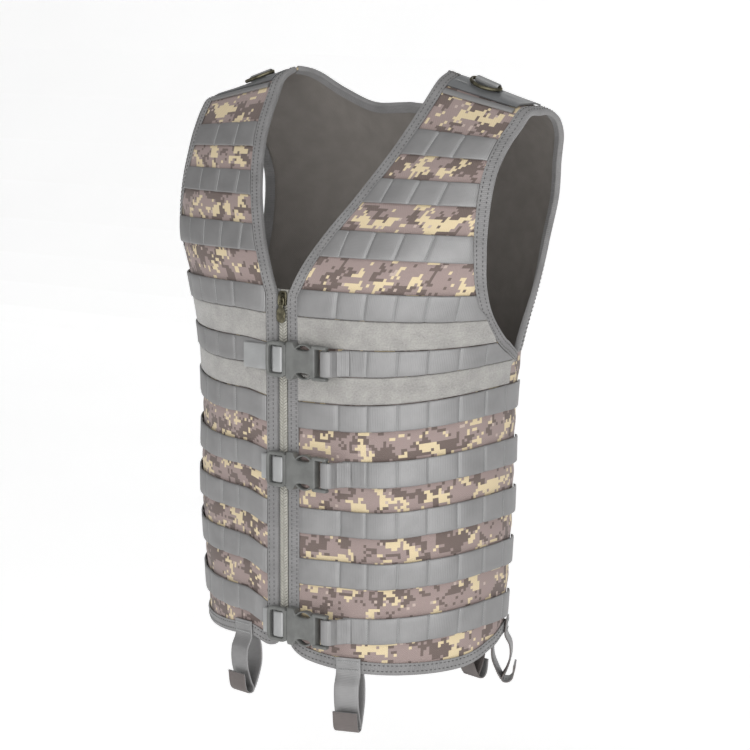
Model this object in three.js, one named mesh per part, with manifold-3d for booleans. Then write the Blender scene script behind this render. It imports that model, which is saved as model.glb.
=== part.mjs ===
// Load-bearing vest: padded cloth fronts and back, webbing rows, centre zip, buckles and belt loops.
// Millimetres. +Z is up, the front faces -Y and the wearer's left is +X.
// The origin is the shoulder seat, midway between the two shoulder tops on which the vest rests.
import * as THREE from 'three';
import { mergeVertices } from 'three/addons/utils/BufferGeometryUtils.js';
import initManifold from 'manifold-3d';

const kit = await initManifold();
kit.setup();
const { Manifold, Mesh: SolidMesh } = kit;

// Thicknesses and clearances
const WALL = 3;
const GAP = 0.35;
const LEG_GAP = 0.5;
const TAPE = 1;
const BINDING = 11;
const WEB = 1.6;
const WEB_WIDTH = 25;
const ZIP_HALF = 7.6;
const SIDE_SEAM = 100;
const SEAM_HALF = 0.2;
const RIDGE = 38.7;
const ARMPIT = -254;
const UNDER_ARM = -265;

// Rows climb towards the side seams, and the wearer's right front hangs a little shorter.
const SIDE_RISE = 15;
const RIGHT_RISE = 0.045;

// Torso rings. w is the height along the cloth, z the height of the ring, slope its fall outwards.
// half is the half width, axis the ring's middle, front and back its depths, frontN and backN its squareness.
const RINGS = [
  { w: -600, z: -600, slope: 0, half: 148, axis: -16, front: 115, frontN: 2.25, back: 77, backN: 2.25 },
  { w: -500, z: -500, slope: 0, half: 158.5, axis: -16, front: 116.5, frontN: 2.25, back: 75, backN: 2.25 },
  { w: -400, z: -400, slope: 0, half: 164, axis: -16, front: 116.5, frontN: 2.25, back: 82, backN: 2.25 },
  { w: -294, z: -294, slope: 0, half: 164.5, axis: -16, front: 116.5, frontN: 2.25, back: 91, backN: 2.3 },
  { w: -235, z: -235, slope: 0, half: 169.5, axis: -16, front: 116.5, frontN: 2.27, back: 97, backN: 2.4 },
  { w: -178, z: -178, slope: 0, half: 184, axis: -16, front: 116, frontN: 2.3, back: 103, backN: 2.5 },
  { w: -141, z: -141, slope: 0, half: 197, axis: -16, front: 105, frontN: 2.4, back: 104, backN: 2.5 },
  { w: -93, z: -97, slope: 0, half: 207, axis: -12, front: 84, frontN: 2.6, back: 103, backN: 2.6 },
  { w: -38, z: -50, slope: 0.05, half: 212, axis: -6, front: 57, frontN: 3, back: 80, backN: 2.8 },
  { w: 4, z: -10, slope: 0.18, half: 212, axis: -2, front: 29, frontN: 3.5, back: 46, backN: 3.8 },
  { w: 22, z: 6, slope: 0.26, half: 212, axis: -1, front: 16, frontN: 3.8, back: 24, backN: 3.9 },
  { w: 39, z: 13, slope: 0.33, half: 212, axis: 0, front: 0, frontN: 4, back: 0, backN: 4 },
];
const SLOPE_FROM = 99;

// Soft folds: place and spread in degrees and millimetres, and how far the cloth stands out.
const FOLDS = [
  { phi: 20, w: -405, spread: 10, drop: 60, out: -5 },
  { phi: 38, w: -400, spread: 11, drop: 60, out: 4 },
  { phi: 62, w: -450, spread: 12, drop: 45, out: 3 },
  { phi: -24, w: -420, spread: 11, drop: 55, out: -4 },
  { phi: -46, w: -400, spread: 12, drop: 60, out: 3 },
];

// Edges of a front, in degrees from the zip at each height w
const NECK = [
  { w: -190, phi: 1.5 },
  { w: -166, phi: 4 },
  { w: -133, phi: 7.6 },
  { w: -92, phi: 11.4 },
  { w: -38, phi: 13.7 },
  { w: 5, phi: 13.2 },
  { w: 39, phi: 11.2 },
];
const ARM_FRONT = [
  { w: -254, phi: 99.9 },
  { w: -244, phi: 93.5 },
  { w: -223, phi: 85.4 },
  { w: -200, phi: 77.7 },
  { w: -178, phi: 72.5 },
  { w: -141, phi: 65.9 },
  { w: -114, phi: 62.2 },
  { w: -83, phi: 58.8 },
  { w: -55, phi: 57 },
  { w: -24, phi: 57.5 },
  { w: 0, phi: 59.5 },
  { w: 39, phi: 59.7 },
];
// Inner edge of the armhole binding where it turns under the arm
const ARM_INNER = [
  { w: -265, phi: 99.2 },
  { w: -254, phi: 92 },
  { w: -245, phi: 88.2 },
  { w: -236, phi: 84.7 },
  { w: -223, phi: 80.6 },
  { w: -207, phi: 75.9 },
  { w: -200, phi: 74 },
];
// Armhole edge of the back, in degrees from the middle of the back
const ARM_BACK = [
  { w: -254, phi: 79.9 },
  { w: -244, phi: 78 },
  { w: -223, phi: 75.5 },
  { w: -200, phi: 71.5 },
  { w: -178, phi: 66.5 },
  { w: -141, phi: 58.9 },
  { w: -93, phi: 55.7 },
  { w: -60, phi: 56.2 },
  { w: -38, phi: 58 },
  { w: 0, phi: 60 },
  { w: 39, phi: 59.7 },
];
// Hem height from the zip round to the middle of the back
const HEM = [
  { phi: 0, w: -517 },
  { phi: 4, w: -530 },
  { phi: 8.5, w: -536 },
  { phi: 20, w: -541 },
  { phi: 45, w: -547 },
  { phi: 70, w: -551 },
  { phi: 80, w: -549 },
  { phi: 90, w: -541 },
  { phi: 100, w: -533 },
  { phi: 112, w: -533 },
  { phi: 130, w: -541 },
  { phi: 180, w: -546 },
];
// Top edge of the back by the part of its half width: neck in the middle, shoulders outside
const BACK_TOP = [
  { part: 0, w: -16 },
  { part: 0.07, w: -12 },
  { part: 0.12, w: 4 },
  { part: 0.155, w: 20 },
  { part: 0.18, w: RIDGE },
  { part: 1, w: RIDGE },
];

// Webbing rows: height of the upper edge
const ROWS = [
  { row: 1, top: -23 },
  { row: 2, top: -74 },
  { row: 3, top: -127 },
  { row: 4, top: -182 },
  { row: 5, top: -236 },
  { row: 6, top: -288 },
  { row: 7, top: -341 },
  { row: 8, top: -389 },
  { row: 9, top: -438 },
  { row: 10, top: -491 },
];
const LOOP_BANDS = [
  { band: 1, top: -207, bottom: -236 },
  { band: 2, top: -261, bottom: -288 },
];
const BAND_INSET = 0.7;
const ROW_INSET = 0.7;
const TURN_INSET = 3.4;
// Angle to which the rows below the arm run on round the side, past the seam
const WRAP = 112;
const WRAP_LIFT = 0.9;

// Buckles across the zip; tail is how far the free end reaches to the wearer's right.
const BUCKLES = [
  { row: 5, tail: 46 },
  { row: 7, tail: 23 },
  { row: 10, tail: 22 },
];
// Belt loops: middle of each loop in degrees from the zip, and how far it hangs below the hem
const BELT_LOOPS = [
  { name: 'belt_loop_front_left', phi: 24.5, drop: 57 },
  { name: 'belt_loop_front_right', phi: -16.5, drop: 57 },
  { name: 'belt_loop_side_left', phi: 108, drop: 48 },
  { name: 'belt_loop_side_right', phi: -108, drop: 48 },
  { name: 'belt_loop_back_left', phi: 150, drop: 52 },
  { name: 'belt_loop_back_right', phi: -150, drop: 52 },
];

const cloth = (color) => new THREE.MeshStandardMaterial({ color, roughness: 0.9 });
const CAMO = cloth(0xa8957c);
const GREY = cloth(0x8d8f90);
const LIGHT = cloth(0xa9aaa6);
const BOUND = cloth(0x7c7f82);
const PLASTIC = new THREE.MeshStandardMaterial({ color: 0x6f716f, roughness: 0.6 });
const BRASS = new THREE.MeshStandardMaterial({ color: 0x6b6248, roughness: 0.4, metalness: 0.8 });

const RAD = Math.PI / 180;
const V = (x, y, z) => new THREE.Vector3(x, y, z);
const lerp = (a, b, t) => a + (b - a) * t;

function smooth(value) {
  const t = Math.min(1, Math.max(0, value));
  return t * t * (3 - 2 * t);
}

// Reads a column of a table at a place along its key, with slopes taken from the neighbouring rows.
function curve(table, key, name, at) {
  const last = table.length - 1;
  const place = Math.min(table[last][key], Math.max(table[0][key], at));
  let i = 0;
  while (i < last - 1 && table[i + 1][key] < place) i += 1;
  const slope = (k) => {
    const a = table[Math.max(0, k - 1)];
    const b = table[Math.min(last, k + 1)];
    return (b[name] - a[name]) / (b[key] - a[key]);
  };
  const h = table[i + 1][key] - table[i][key];
  const t = (place - table[i][key]) / h;
  const s = t * t;
  const c = s * t;
  return (2 * c - 3 * s + 1) * table[i][name] + (c - 2 * s + t) * h * slope(i)
    + (3 * s - 2 * c) * table[i + 1][name] + (c - s) * h * slope(i + 1);
}

// Straight reading of a table, for edges with a corner.
function straight(table, key, name, at) {
  const last = table.length - 1;
  let i = 0;
  while (i < last - 1 && table[i + 1][key] < at) i += 1;
  const t = (at - table[i][key]) / (table[i + 1][key] - table[i][key]);
  return lerp(table[i][name], table[i + 1][name], Math.min(1, Math.max(0, t)));
}

// Height on the body of a row height w, after the climb towards the sides.
function bodyHeight(phi, w) {
  const d = Math.abs(phi);
  const low = smooth((-190 - w) / 100);
  let v = w + SIDE_RISE * smooth((d - 20) / 75) * low * smooth((200 - d) / 60);
  if (phi < 0) v += RIGHT_RISE * Math.max(0, -150 - w) * smooth(d / 15) * smooth((170 - d) / 60);
  return v;
}

// Inner face of the vest at an angle from the zip (positive to the wearer's left) and a height w.
function body(angle, w) {
  const phi = angle > 180 ? angle - 360 : angle;
  const v = bodyHeight(phi, w);
  const at = (name) => curve(RINGS, 'w', name, v);
  const s = Math.sin(phi * RAD);
  const c = Math.cos(phi * RAD);
  const n = c > 0 ? at('frontN') : at('backN');
  const x = at('half') * Math.sign(s) * Math.abs(s) ** (2 / n);
  const y = at('axis') + (c > 0 ? -at('front') : at('back')) * Math.abs(c) ** (2 / n);
  const z = at('z') - at('slope') * (Math.abs(x) - SLOPE_FROM);
  let out = 0;
  for (const f of FOLDS) {
    out += f.out * Math.exp(-(((phi - f.phi) / f.spread) ** 2) - ((w - f.w) / f.drop) ** 2);
  }
  return V(x + out * s, y - out * c, z);
}

function normal(phi, w) {
  const across = body(phi + 0.1, w).sub(body(phi - 0.1, w));
  const up = body(phi, Math.min(39, w + 0.6)).sub(body(phi, w - 0.6));
  return across.cross(up).normalize();
}

// A point off the inner face; WALL is the outer face of the cloth.
function surf(phi, w, off) {
  return body(phi, w).addScaledVector(normal(phi, w), off);
}

// Walks along a row by a length in millimetres and gives the angle reached.
function walk(phi, w, length) {
  let at = phi;
  for (let i = 0; i < 10; i += 1) {
    const speed = body(at + 0.1, w).distanceTo(body(at - 0.1, w)) / 0.2;
    at += length / 10 / speed;
  }
  return at;
}

// Angle at which a row stands at a side distance x on the front.
function angleOf(x, w) {
  const half = curve(RINGS, 'w', 'half', w);
  const n = curve(RINGS, 'w', 'frontN', w);
  return Math.asin((x / half) ** (n / 2)) / RAD;
}

const root = new THREE.Group();
root.name = 'load_bearing_vest';

// Triangles of a closed body, turned so that they face outwards.
function turnedOut(points, faces) {
  let volume = 0;
  for (const [a, b, c] of faces) volume += points[a].dot(points[b].clone().cross(points[c]));
  return volume < 0 ? faces.map(([a, b, c]) => [a, c, b]) : faces;
}

// Adds a closed solid from corner points and triangles, with its faces turned outwards.
function addSolid(name, points, triangles, material) {
  const key = (p) => `${Math.round(p.x * 500)},${Math.round(p.y * 500)},${Math.round(p.z * 500)}`;
  const seen = new Map();
  const place = [];
  const same = points.map((p) => {
    const k = key(p);
    if (!seen.has(k)) {
      seen.set(k, place.length);
      place.push(p);
    }
    return seen.get(k);
  });
  let faces = triangles.map((t) => t.map((i) => same[i]));
  faces = faces.filter(([a, b, c]) => a !== b && b !== c && a !== c);
  faces = turnedOut(place, faces);
  const geometry = new THREE.BufferGeometry();
  geometry.setAttribute('position', new THREE.Float32BufferAttribute(place.flatMap((p) => p.toArray()), 3));
  geometry.setIndex(faces.flat());
  geometry.computeVertexNormals();
  const mesh = new THREE.Mesh(geometry, material);
  mesh.name = name;
  root.add(mesh);
  return mesh;
}

// Triangles of a sheet with two faces; node (i, j, side) is at index ((i * cols) + j) * 2 + side.
function sheetFaces(rows, cols) {
  const id = (i, j, s) => (i * cols + j) * 2 + s;
  const out = [];
  const quad = (a, b, c, d) => out.push([a, b, c], [a, c, d]);
  for (let i = 0; i < rows - 1; i += 1) {
    for (let j = 0; j < cols - 1; j += 1) {
      quad(id(i, j, 1), id(i, j + 1, 1), id(i + 1, j + 1, 1), id(i + 1, j, 1));
      quad(id(i, j, 0), id(i + 1, j, 0), id(i + 1, j + 1, 0), id(i, j + 1, 0));
    }
  }
  for (let j = 0; j < cols - 1; j += 1) {
    quad(id(0, j, 0), id(0, j + 1, 0), id(0, j + 1, 1), id(0, j, 1));
    quad(id(rows - 1, j, 1), id(rows - 1, j + 1, 1), id(rows - 1, j + 1, 0), id(rows - 1, j, 0));
  }
  for (let i = 0; i < rows - 1; i += 1) {
    quad(id(i, 0, 1), id(i + 1, 0, 1), id(i + 1, 0, 0), id(i, 0, 0));
    quad(id(i, cols - 1, 0), id(i + 1, cols - 1, 0), id(i + 1, cols - 1, 1), id(i, cols - 1, 1));
  }
  return out;
}

// A sheet over grid nodes [angle, w] between two distances off the inner face; a third number lifts a node more.
function sheet(grid, low, high) {
  const points = grid.flatMap((row) => row.flatMap(([p, w, up = 0]) => [surf(p, w, low + up), surf(p, w, high + up)]));
  return { points, faces: sheetFaces(grid.length, grid[0].length) };
}

// Joins sections of equal point count into a solid; caps lists the triangles of the end faces.
// turned tells for each section whether its faces are split along the other diagonal.
function loft(sections, caps, closed, turned = []) {
  const k = sections[0].length;
  const faces = [];
  const last = sections.length - 1;
  const count = closed ? last + 1 : last;
  for (let i = 0; i < count; i += 1) {
    const next = (i + 1) % sections.length;
    for (let a = 0; a < k; a += 1) {
      const b = (a + 1) % k;
      const [p, q, r, s] = [i * k + a, i * k + b, next * k + b, next * k + a];
      if (turned[i]) faces.push([p, q, s], [q, r, s]);
      else faces.push([p, q, r], [p, r, s]);
    }
  }
  if (!closed) {
    for (const [a, b, c] of caps) {
      faces.push([a, c, b], [last * k + a, last * k + b, last * k + c]);
    }
  }
  return { points: sections.flat(), faces };
}

// Grid of a front: rows from hem to shoulder, columns from zip to side
const FRONT_PARTS = [0, 0.08, 0.17, 0.28, 0.4, 0.52, 0.64, 0.76, 0.88, 1];
const LOW_ROWS = ROWS.flatMap(({ top }) => [top, top - WEB_WIDTH]);
const FRONT_LEVELS = [...LOW_ROWS, UNDER_ARM, ARMPIT, -245, -223, 0, 20, RIDGE].sort((a, b) => a - b);

function frontEdges(w) {
  const zip = angleOf(ZIP_HALF, w);
  const inner = w < -190 ? zip : Math.max(zip, curve(NECK, 'w', 'phi', w));
  const outer = w <= ARMPIT ? SIDE_SEAM - SEAM_HALF : curve(ARM_FRONT, 'w', 'phi', w);
  return [inner, outer];
}

function frontRow(w, side) {
  const [inner, outer] = frontEdges(w);
  const a = walk(inner, w, BINDING + 0.5);
  const turning = w >= UNDER_ARM && w <= -200;
  const b = turning ? curve(ARM_INNER, 'w', 'phi', w) : walk(outer, w, -BINDING);
  const cells = FRONT_PARTS.map((t) => [side * lerp(a, b, t), w]);
  return [[side * inner, w], ...cells, [side * outer, w]];
}

function frontGrid(side) {
  const levels = FRONT_LEVELS.map((w) => frontRow(w, side));
  const foot = levels[0].map(([phi]) => [phi, curve(HEM, 'phi', 'w', Math.abs(phi))]);
  const second = foot.map(([phi, w]) => [phi, w + BINDING]);
  const first = levels[0].map(([phi, w], j) => [phi, Math.max(w, second[j][1] + 3)]);
  return [foot, second, first, ...levels.slice(1)];
}

// Grid of the back: rows from hem to top, columns from the wearer's left to the wearer's right
const BACK_PARTS = [0, 0.07, 0.12, 0.155, 0.18, 0.25, 0.4, 0.58, 0.76, 0.92, 1];
const NECK_NODES = 4;
const BACK_LEVELS = [-522, -470, -410, -350, -295, ARMPIT, -223, -200, -178, -141, -93, -60, -38, -20, 0, 20,
  RIDGE];

function backGrid() {
  const parts = [...BACK_PARTS.slice(1).reverse(), 0, ...BACK_PARTS.slice(1).map((t) => -t)];
  const base = curve(HEM, 'phi', 'w', SIDE_SEAM);
  const heights = [base, ...BACK_LEVELS];
  return heights.map((level) => {
    const t = (level - base) / (RIDGE - base);
    const outer = level <= ARMPIT ? 80 - SEAM_HALF : curve(ARM_BACK, 'w', 'phi', level);
    const bound = 180 - walk(180 - outer, level, BINDING);
    return parts.map((part) => {
      const from = Math.abs(part) === 0.92 ? Math.sign(part) * bound : part * outer;
      const phi = 180 - from;
      const foot = curve(HEM, 'phi', 'w', phi > 180 ? 360 - phi : phi);
      const top = straight(BACK_TOP, 'part', 'w', Math.abs(part));
      return [phi, level === BACK_LEVELS[0] ? foot + BINDING : lerp(foot, top, t)];
    });
  });
}

const grids = { left: frontGrid(1), right: frontGrid(-1), back: backGrid() };
const SIDES = [{ name: 'left', sign: 1 }, { name: 'right', sign: -1 }];
for (const { name } of SIDES) {
  const made = sheet(grids[name], 0, WALL);
  addSolid(`front_panel_${name}`, made.points, made.faces, CAMO);
}
const backSheet = sheet(grids.back, 0, WALL);
addSolid('back_panel', backSheet.points, backSheet.faces, CAMO);

// Direction on the cloth square to an edge at station k, pointing away from the inner nodes
function outward(stations, k) {
  const here = stations[k].edge;
  const before = stations.slice(0, k).reverse().find((s) => s.edge !== here);
  const after = stations.slice(k + 1).find((s) => s.edge !== here);
  const along = body(...(after ? after.edge : here)).sub(body(...(before ? before.edge : here)));
  const across = along.cross(normal(...here)).normalize();
  const away = body(...here).sub(body(...stations[k].inner));
  return across.dot(away) < 0 ? across.negate() : across;
}

// Bound edge: one leg on the outer face and one round the edge, along stations of an edge and an inner node.
const EDGE_CAPS = [[0, 1, 2], [0, 2, 5], [5, 2, 3], [5, 3, 4]];

function boundEdge(name, stations, gap = LEG_GAP) {
  const sections = stations.map(({ edge, inner }, k) => {
    const out = outward(stations, k);
    const e = (off, by) => surf(...edge, off).addScaledVector(out, by);
    const leg = WALL + gap;
    return [surf(...inner, leg), surf(...inner, leg + TAPE), e(leg + TAPE, GAP + TAPE), e(0, GAP + TAPE),
      e(0, GAP), e(leg, GAP)];
  });
  const made = loft(sections, EDGE_CAPS, false, stations.map(({ turned }) => turned));
  addSolid(name, made.points, made.faces, BOUND);
}

const lastColumn = FRONT_PARTS.length + 1;
for (const { name } of SIDES) {
  const grid = grids[name];
  const top = grid.length - 1;
  const stations = [];
  for (let i = top; i >= 1; i -= 1) stations.push({ edge: grid[i][0], inner: grid[i][1], turned: true });
  stations.push({ edge: grid[0][0], inner: grid[1][1] });
  for (let j = 1; j <= lastColumn; j += 1) stations.push({ edge: grid[0][j], inner: grid[1][j] });
  boundEdge(`front_binding_${name}`, stations);
}

// Armhole edges run from under the arm up the front, over the shoulder and down the back.
for (const { name } of SIDES) {
  const front = grids[name].filter((row) => row[0][1] >= ARMPIT - 0.01);
  const under = grids[name].filter((row) => row[0][1] >= UNDER_ARM && row[0][1] < ARMPIT - 0.01);
  const column = name === 'left' ? 0 : grids.back[0].length - 1;
  const next = name === 'left' ? 1 : column - 1;
  const back = grids.back.filter((row) => row[column][1] >= ARMPIT - 0.01).reverse();
  const up = front.map((row) => ({ edge: row[lastColumn], inner: row[lastColumn - 1], turned: true }));
  const down = back.map((row) => ({ edge: row[column], inner: row[next], turned: name === 'left' }));
  const turn = under.map((row) => ({ edge: front[0][lastColumn], inner: row[lastColumn - 1], turned: true }));
  boundEdge(`armhole_binding_${name}`, [...turn, ...up, ...down]);
}

// Neck of the back: the inner nodes stand square to the edge.
function inset(path, k, width) {
  const [phi, w] = path[k];
  const along = body(...path[Math.min(path.length - 1, k + 1)]).sub(body(...path[Math.max(0, k - 1)])).normalize();
  const across = along.cross(normal(phi, w));
  if (across.dot(body(phi, w - 20).sub(body(phi, w))) < 0) across.negate();
  const p = body(phi + 0.2, w).sub(body(phi - 0.2, w)).multiplyScalar(2.5);
  const q = body(phi, w).sub(body(phi, w - 0.5)).multiplyScalar(2);
  const det = p.dot(p) * q.dot(q) - p.dot(q) ** 2;
  const a = p.dot(across) * width;
  const b = q.dot(across) * width;
  return [phi + (a * q.dot(q) - b * p.dot(q)) / det, Math.min(RIDGE, w + (b * p.dot(p) - a * p.dot(q)) / det)];
}

const backTop = grids.back[grids.back.length - 1];
const half = (backTop.length - 1) / 2;
const neckPath = backTop.slice(half - NECK_NODES, half + NECK_NODES + 1);
const neckStations = neckPath.map((edge, k) => ({ edge, inner: inset(neckPath, k, BINDING) }));
boundEdge('back_neck_binding', neckStations, 1.2);
boundEdge('back_hem_binding', grids.back[0].map((edge, j) => ({ edge, inner: grids.back[1][j] })));

// Webbing rows and hook-and-loop bands lie on the grid of the front, between zip binding and armhole binding.
function stripGrid(side, top, bottom) {
  const between = FRONT_LEVELS.filter((w) => w > bottom + 0.5 && w < top - 0.5);
  const grid = [bottom, ...between, top].map((w) => {
    const row = frontRow(w, side).slice(1, -1);
    const last = row.length - 1;
    row[0] = [side * walk(Math.abs(row[0][0]), w, ROW_INSET), w];
    const clear = w >= UNDER_ARM && w <= -230 ? TURN_INSET : ROW_INSET;
    if (top < UNDER_ARM) {
      const around = (t) => [side * lerp(SIDE_SEAM, WRAP, t), w, WRAP_LIFT];
      row.push(around(0), around(0.5), around(1));
    } else row[last] = [side * walk(Math.abs(row[last][0]), w, -clear), w];
    return row;
  });
  return grid;
}

// Solid of the joining kit from points and triangles.
function solidOf({ points, faces }) {
  return new Manifold(new SolidMesh({
    numProp: 3,
    vertProperties: new Float32Array(points.flatMap((p) => p.toArray())),
    triVerts: new Uint32Array(turnedOut(points, faces).flat()),
  }));
}

// Solid of the joining kit from a closed geometry.
function solidFrom(geometry) {
  const bare = new THREE.BufferGeometry();
  bare.setAttribute('position', geometry.getAttribute('position'));
  bare.setIndex(geometry.getIndex());
  const merged = mergeVertices(bare);
  const place = merged.getAttribute('position');
  const index = merged.getIndex().array;
  const points = Array.from({ length: place.count }, (_, i) => V().fromBufferAttribute(place, i));
  const faces = Array.from({ length: index.length / 3 }, (_, i) => [...index.slice(3 * i, 3 * i + 3)]);
  return solidOf({ points, faces });
}

// Named mesh of a joined solid; side -1 mirrors it to the wearer's right.
function addJoined(name, solid, material, side = 1) {
  const mesh = solid.getMesh();
  const points = [];
  for (let i = 0; i < mesh.vertProperties.length; i += mesh.numProp) {
    const [x, y, z] = mesh.vertProperties.slice(i, i + 3);
    points.push(V(side * x, y, z));
  }
  const faces = [];
  for (let i = 0; i < mesh.triVerts.length; i += 3) faces.push([...mesh.triVerts.slice(i, i + 3)]);
  return addSolid(name, points, faces, material);
}

// Outline of a strap of a given thickness along a path of [a, b] points.
function ribbon(path, thickness) {
  const h = thickness / 2;
  const last = path.length - 1;
  const sides = path.map((p, i) => {
    const a = path[Math.max(0, i - 1)];
    const b = path[Math.min(last, i + 1)];
    const length = Math.hypot(b[0] - a[0], b[1] - a[1]);
    const n = [-(b[1] - a[1]) / length, (b[0] - a[0]) / length];
    return [[p[0] + n[0] * h, p[1] + n[1] * h], [p[0] - n[0] * h, p[1] - n[1] * h]];
  });
  return [...sides.map((s) => s[1]), ...sides.map((s) => s[0]).reverse()];
}

// Extrudes an outline drawn in x and y by a height centred on z.
function slab(outline, height, z) {
  const shape = new THREE.Shape(outline.map(([x, y]) => new THREE.Vector2(x, y)));
  const geometry = new THREE.ExtrudeGeometry(shape, { depth: height, bevelEnabled: false });
  return geometry.translate(0, 0, z - height / 2);
}

// Turns an outline in x and z into a slab between two depths.
function plate(outline, back, front) {
  return slab(outline, back - front, 0).rotateX(Math.PI / 2).translate(0, (back + front) / 2, 0);
}

function box(x0, x1, y0, y1, z0, z1) {
  const geometry = new THREE.BoxGeometry(x1 - x0, y1 - y0, z1 - z0);
  return solidFrom(geometry.translate((x0 + x1) / 2, (y0 + y1) / 2, (z0 + z1) / 2));
}

// Buckle sizes: x from the wearer's right to left, y in depth, z from the middle of the row
const BUCKLE = {
  back: -138.7,
  front: -148,
  wall: 1.9,
  frameBack: -141.5,
  frameFront: -147.2,
  frameBar: 1.9,
  barFrom: 54.5,
  barTo: 60,
  barBack: -141.8,
  barFront: -146,
  strap: 1.4,
  strapWidth: 24,
  rowStart: 66,
  joinAt: 79,
};
const rowMiddle = (row) => ROWS[row - 1].top - WEB_WIDTH / 2;

// Loop of a left row round the bar of its buckle
function barLoop(row) {
  const w = rowMiddle(row);
  const y = (x, off) => surf(angleOf(x, w), w, off).y;
  const { strap, barFrom, barTo, barBack, barFront, joinAt } = BUCKLE;
  const under = barBack + GAP + strap / 2;
  const over = barFront - GAP - strap / 2;
  const inside = barFrom - GAP - strap / 2;
  const middle = (barBack + barFront) / 2;
  const low = [[joinAt, y(joinAt, WALL + GAP + 0.8)], [barTo + 5, under + 2.2], [barTo, under],
    [barFrom, under], [inside, barBack - 0.3], [inside, middle - 0.5]];
  const high = [[inside, middle + 0.5], [inside, barFront + 0.3], [barFrom, over], [barTo, over],
    [barTo + 4, over + 3], [joinAt, y(joinAt, WALL + GAP + 1.2)]];
  const leg = (path) => solidFrom(slab(ribbon(path, strap), BUCKLE.strapWidth, w));
  return leg(low).add(leg(high));
}

for (const { name, sign } of SIDES) {
  for (const { row, top } of ROWS) {
    const grid = stripGrid(sign, top, top - WEB_WIDTH);
    const buckled = sign > 0 && BUCKLES.some((b) => b.row === row);
    if (buckled) {
      const from = angleOf(BUCKLE.rowStart, top);
      const covered = grid[0].findIndex(([phi]) => phi > from + 1) - 1;
      for (const line of grid) line.splice(0, covered + 1, [from, line[0][1]]);
    }
    const made = sheet(grid, WALL + GAP, WALL + GAP + WEB);
    const label = `webbing_${name}_${row}`;
    if (buckled) addJoined(label, solidOf(made).add(barLoop(row)), GREY);
    else addSolid(label, made.points, made.faces, GREY);
  }
  for (const { band, top, bottom } of LOOP_BANDS) {
    const made = sheet(stripGrid(sign, top - BAND_INSET, bottom + BAND_INSET), WALL + GAP, WALL + GAP + WEB);
    addSolid(`loop_band_${name}_${band}`, made.points, made.faces, LIGHT);
  }
}

// Female half: a hollow case with a waist and a bar. Male half: a two-slot frame with a tongue and two arms.
const FEMALE = [[12.6, -18], [20.5, -18], [23, -13], [27.5, -10.8], [38, -10.8], [42.5, -13], [45, -16.5], [60, -16.5],
  [60, 16.5], [45, 16.5], [42.5, 13], [38, 10.8], [27.5, 10.8], [23, 13], [20.5, 18], [12.6, 18]];
const ARM = [[11, 8.2], [37, 8.2], [40.4, 12.6], [38, 15.6], [32, 17], [27.5, 16], [25, 13.6], [11, 13.6]];

function femaleHalf() {
  const { back, front, wall, barFrom, barTo, barBack, barFront } = BUCKLE;
  return solidFrom(plate(FEMALE, back, front))
    .subtract(box(8, 42, front + wall, back - wall, -14.2, 14.2))
    .subtract(box(48.5, barFrom, front - 1, back + 1, -13.2, 13.2))
    .subtract(box(46.5, barTo + 1, barBack, back + 1, -17, 17))
    .subtract(box(48.5, barTo + 1, front - 1, barFront, -13.2, 13.2));
}

function maleHalf() {
  const { back, front, wall, frameBack, frameFront, frameBar } = BUCKLE;
  const inner = back - wall - 0.6;
  const outer = front + wall + 0.6;
  return box(-12.5, 12, frameFront, frameBack, -17, 17)
    .subtract(box(-8.7, -1.7, frameFront - 1, frameBack + 1, -13.2, 13.2))
    .subtract(box(4.9, 9.4, frameFront - 1, frameBack + 1, -13.2, 13.2))
    .subtract(box(-2.2, 5.4, frameFront - 1, frameFront + frameBar, -13.2, 13.2))
    .add(box(11, 37, outer, inner, -3.4, 3.4))
    .add(solidFrom(plate(ARM, inner, outer)))
    .add(solidFrom(plate(ARM, inner, outer).scale(1, 1, -1)));
}

// Webbing threaded round the middle bar of the male half, with both ends on the row behind it.
function buckleStrap(z, tail) {
  const t = BUCKLE.strap;
  const y = (x, off) => surf(-angleOf(-x, z), z, off).y;
  const webbed = WALL + GAP + WEB + 0.45 + t / 2;
  const over = BUCKLE.frameFront + BUCKLE.frameBar - GAP - t / 2;
  const under = [[-tail, y(-tail, webbed)], [-20, y(-20, webbed)], [5, -138.5], [7.1, -139.6], [7.1, -143.5]];
  const across = [[7.1, -142.5], [7.1, over + 0.9], [5.9, over], [-2.7, over], [-3.9, over + 0.9],
    [-3.9, -142.2], [-5.6, -140.3], [-14, -140.1], [-tail, y(-tail, webbed + t + 0.45)]];
  const leg = (path) => solidFrom(slab(ribbon(path, t), BUCKLE.strapWidth, 0));
  return leg(under).add(leg(across));
}

for (const [i, { row, tail }] of BUCKLES.entries()) {
  const z = rowMiddle(row);
  const label = `buckle_${i + 1}`;
  addJoined(`${label}_female`, femaleHalf(), PLASTIC).position.z = z;
  addJoined(`${label}_male`, maleHalf(), PLASTIC).position.z = z;
  addJoined(`${label}_strap`, buckleStrap(z, tail), LIGHT).position.z = z;
}

// Zip: two tapes behind the bound edges, a coil between them, a slider near the top and its hanging pull
const ZIP_TOP = -186;
const ZIP_FOOT = -512;
const ZIP_FACE = body(0, -300).y;
const tapeBack = ZIP_FACE + 1.9;
const tapeFront = ZIP_FACE + 1.1;
for (const { name, sign } of SIDES) {
  const tape = box(0.3, 16, tapeFront, tapeBack, ZIP_FOOT - 2, ZIP_TOP + 2);
  addJoined(`zip_tape_${name}`, tape, GREY, sign);
}
const coilBack = tapeFront - GAP;
const COIL = [[-3.2, coilBack], [-3.2, coilBack - 1.2], [-1.6, coilBack - 2.4], [1.6, coilBack - 2.4],
  [3.2, coilBack - 1.2], [3.2, coilBack]];
addJoined('zip_coil', solidFrom(slab(COIL, ZIP_TOP - ZIP_FOOT, (ZIP_TOP + ZIP_FOOT) / 2)), BOUND);

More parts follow.
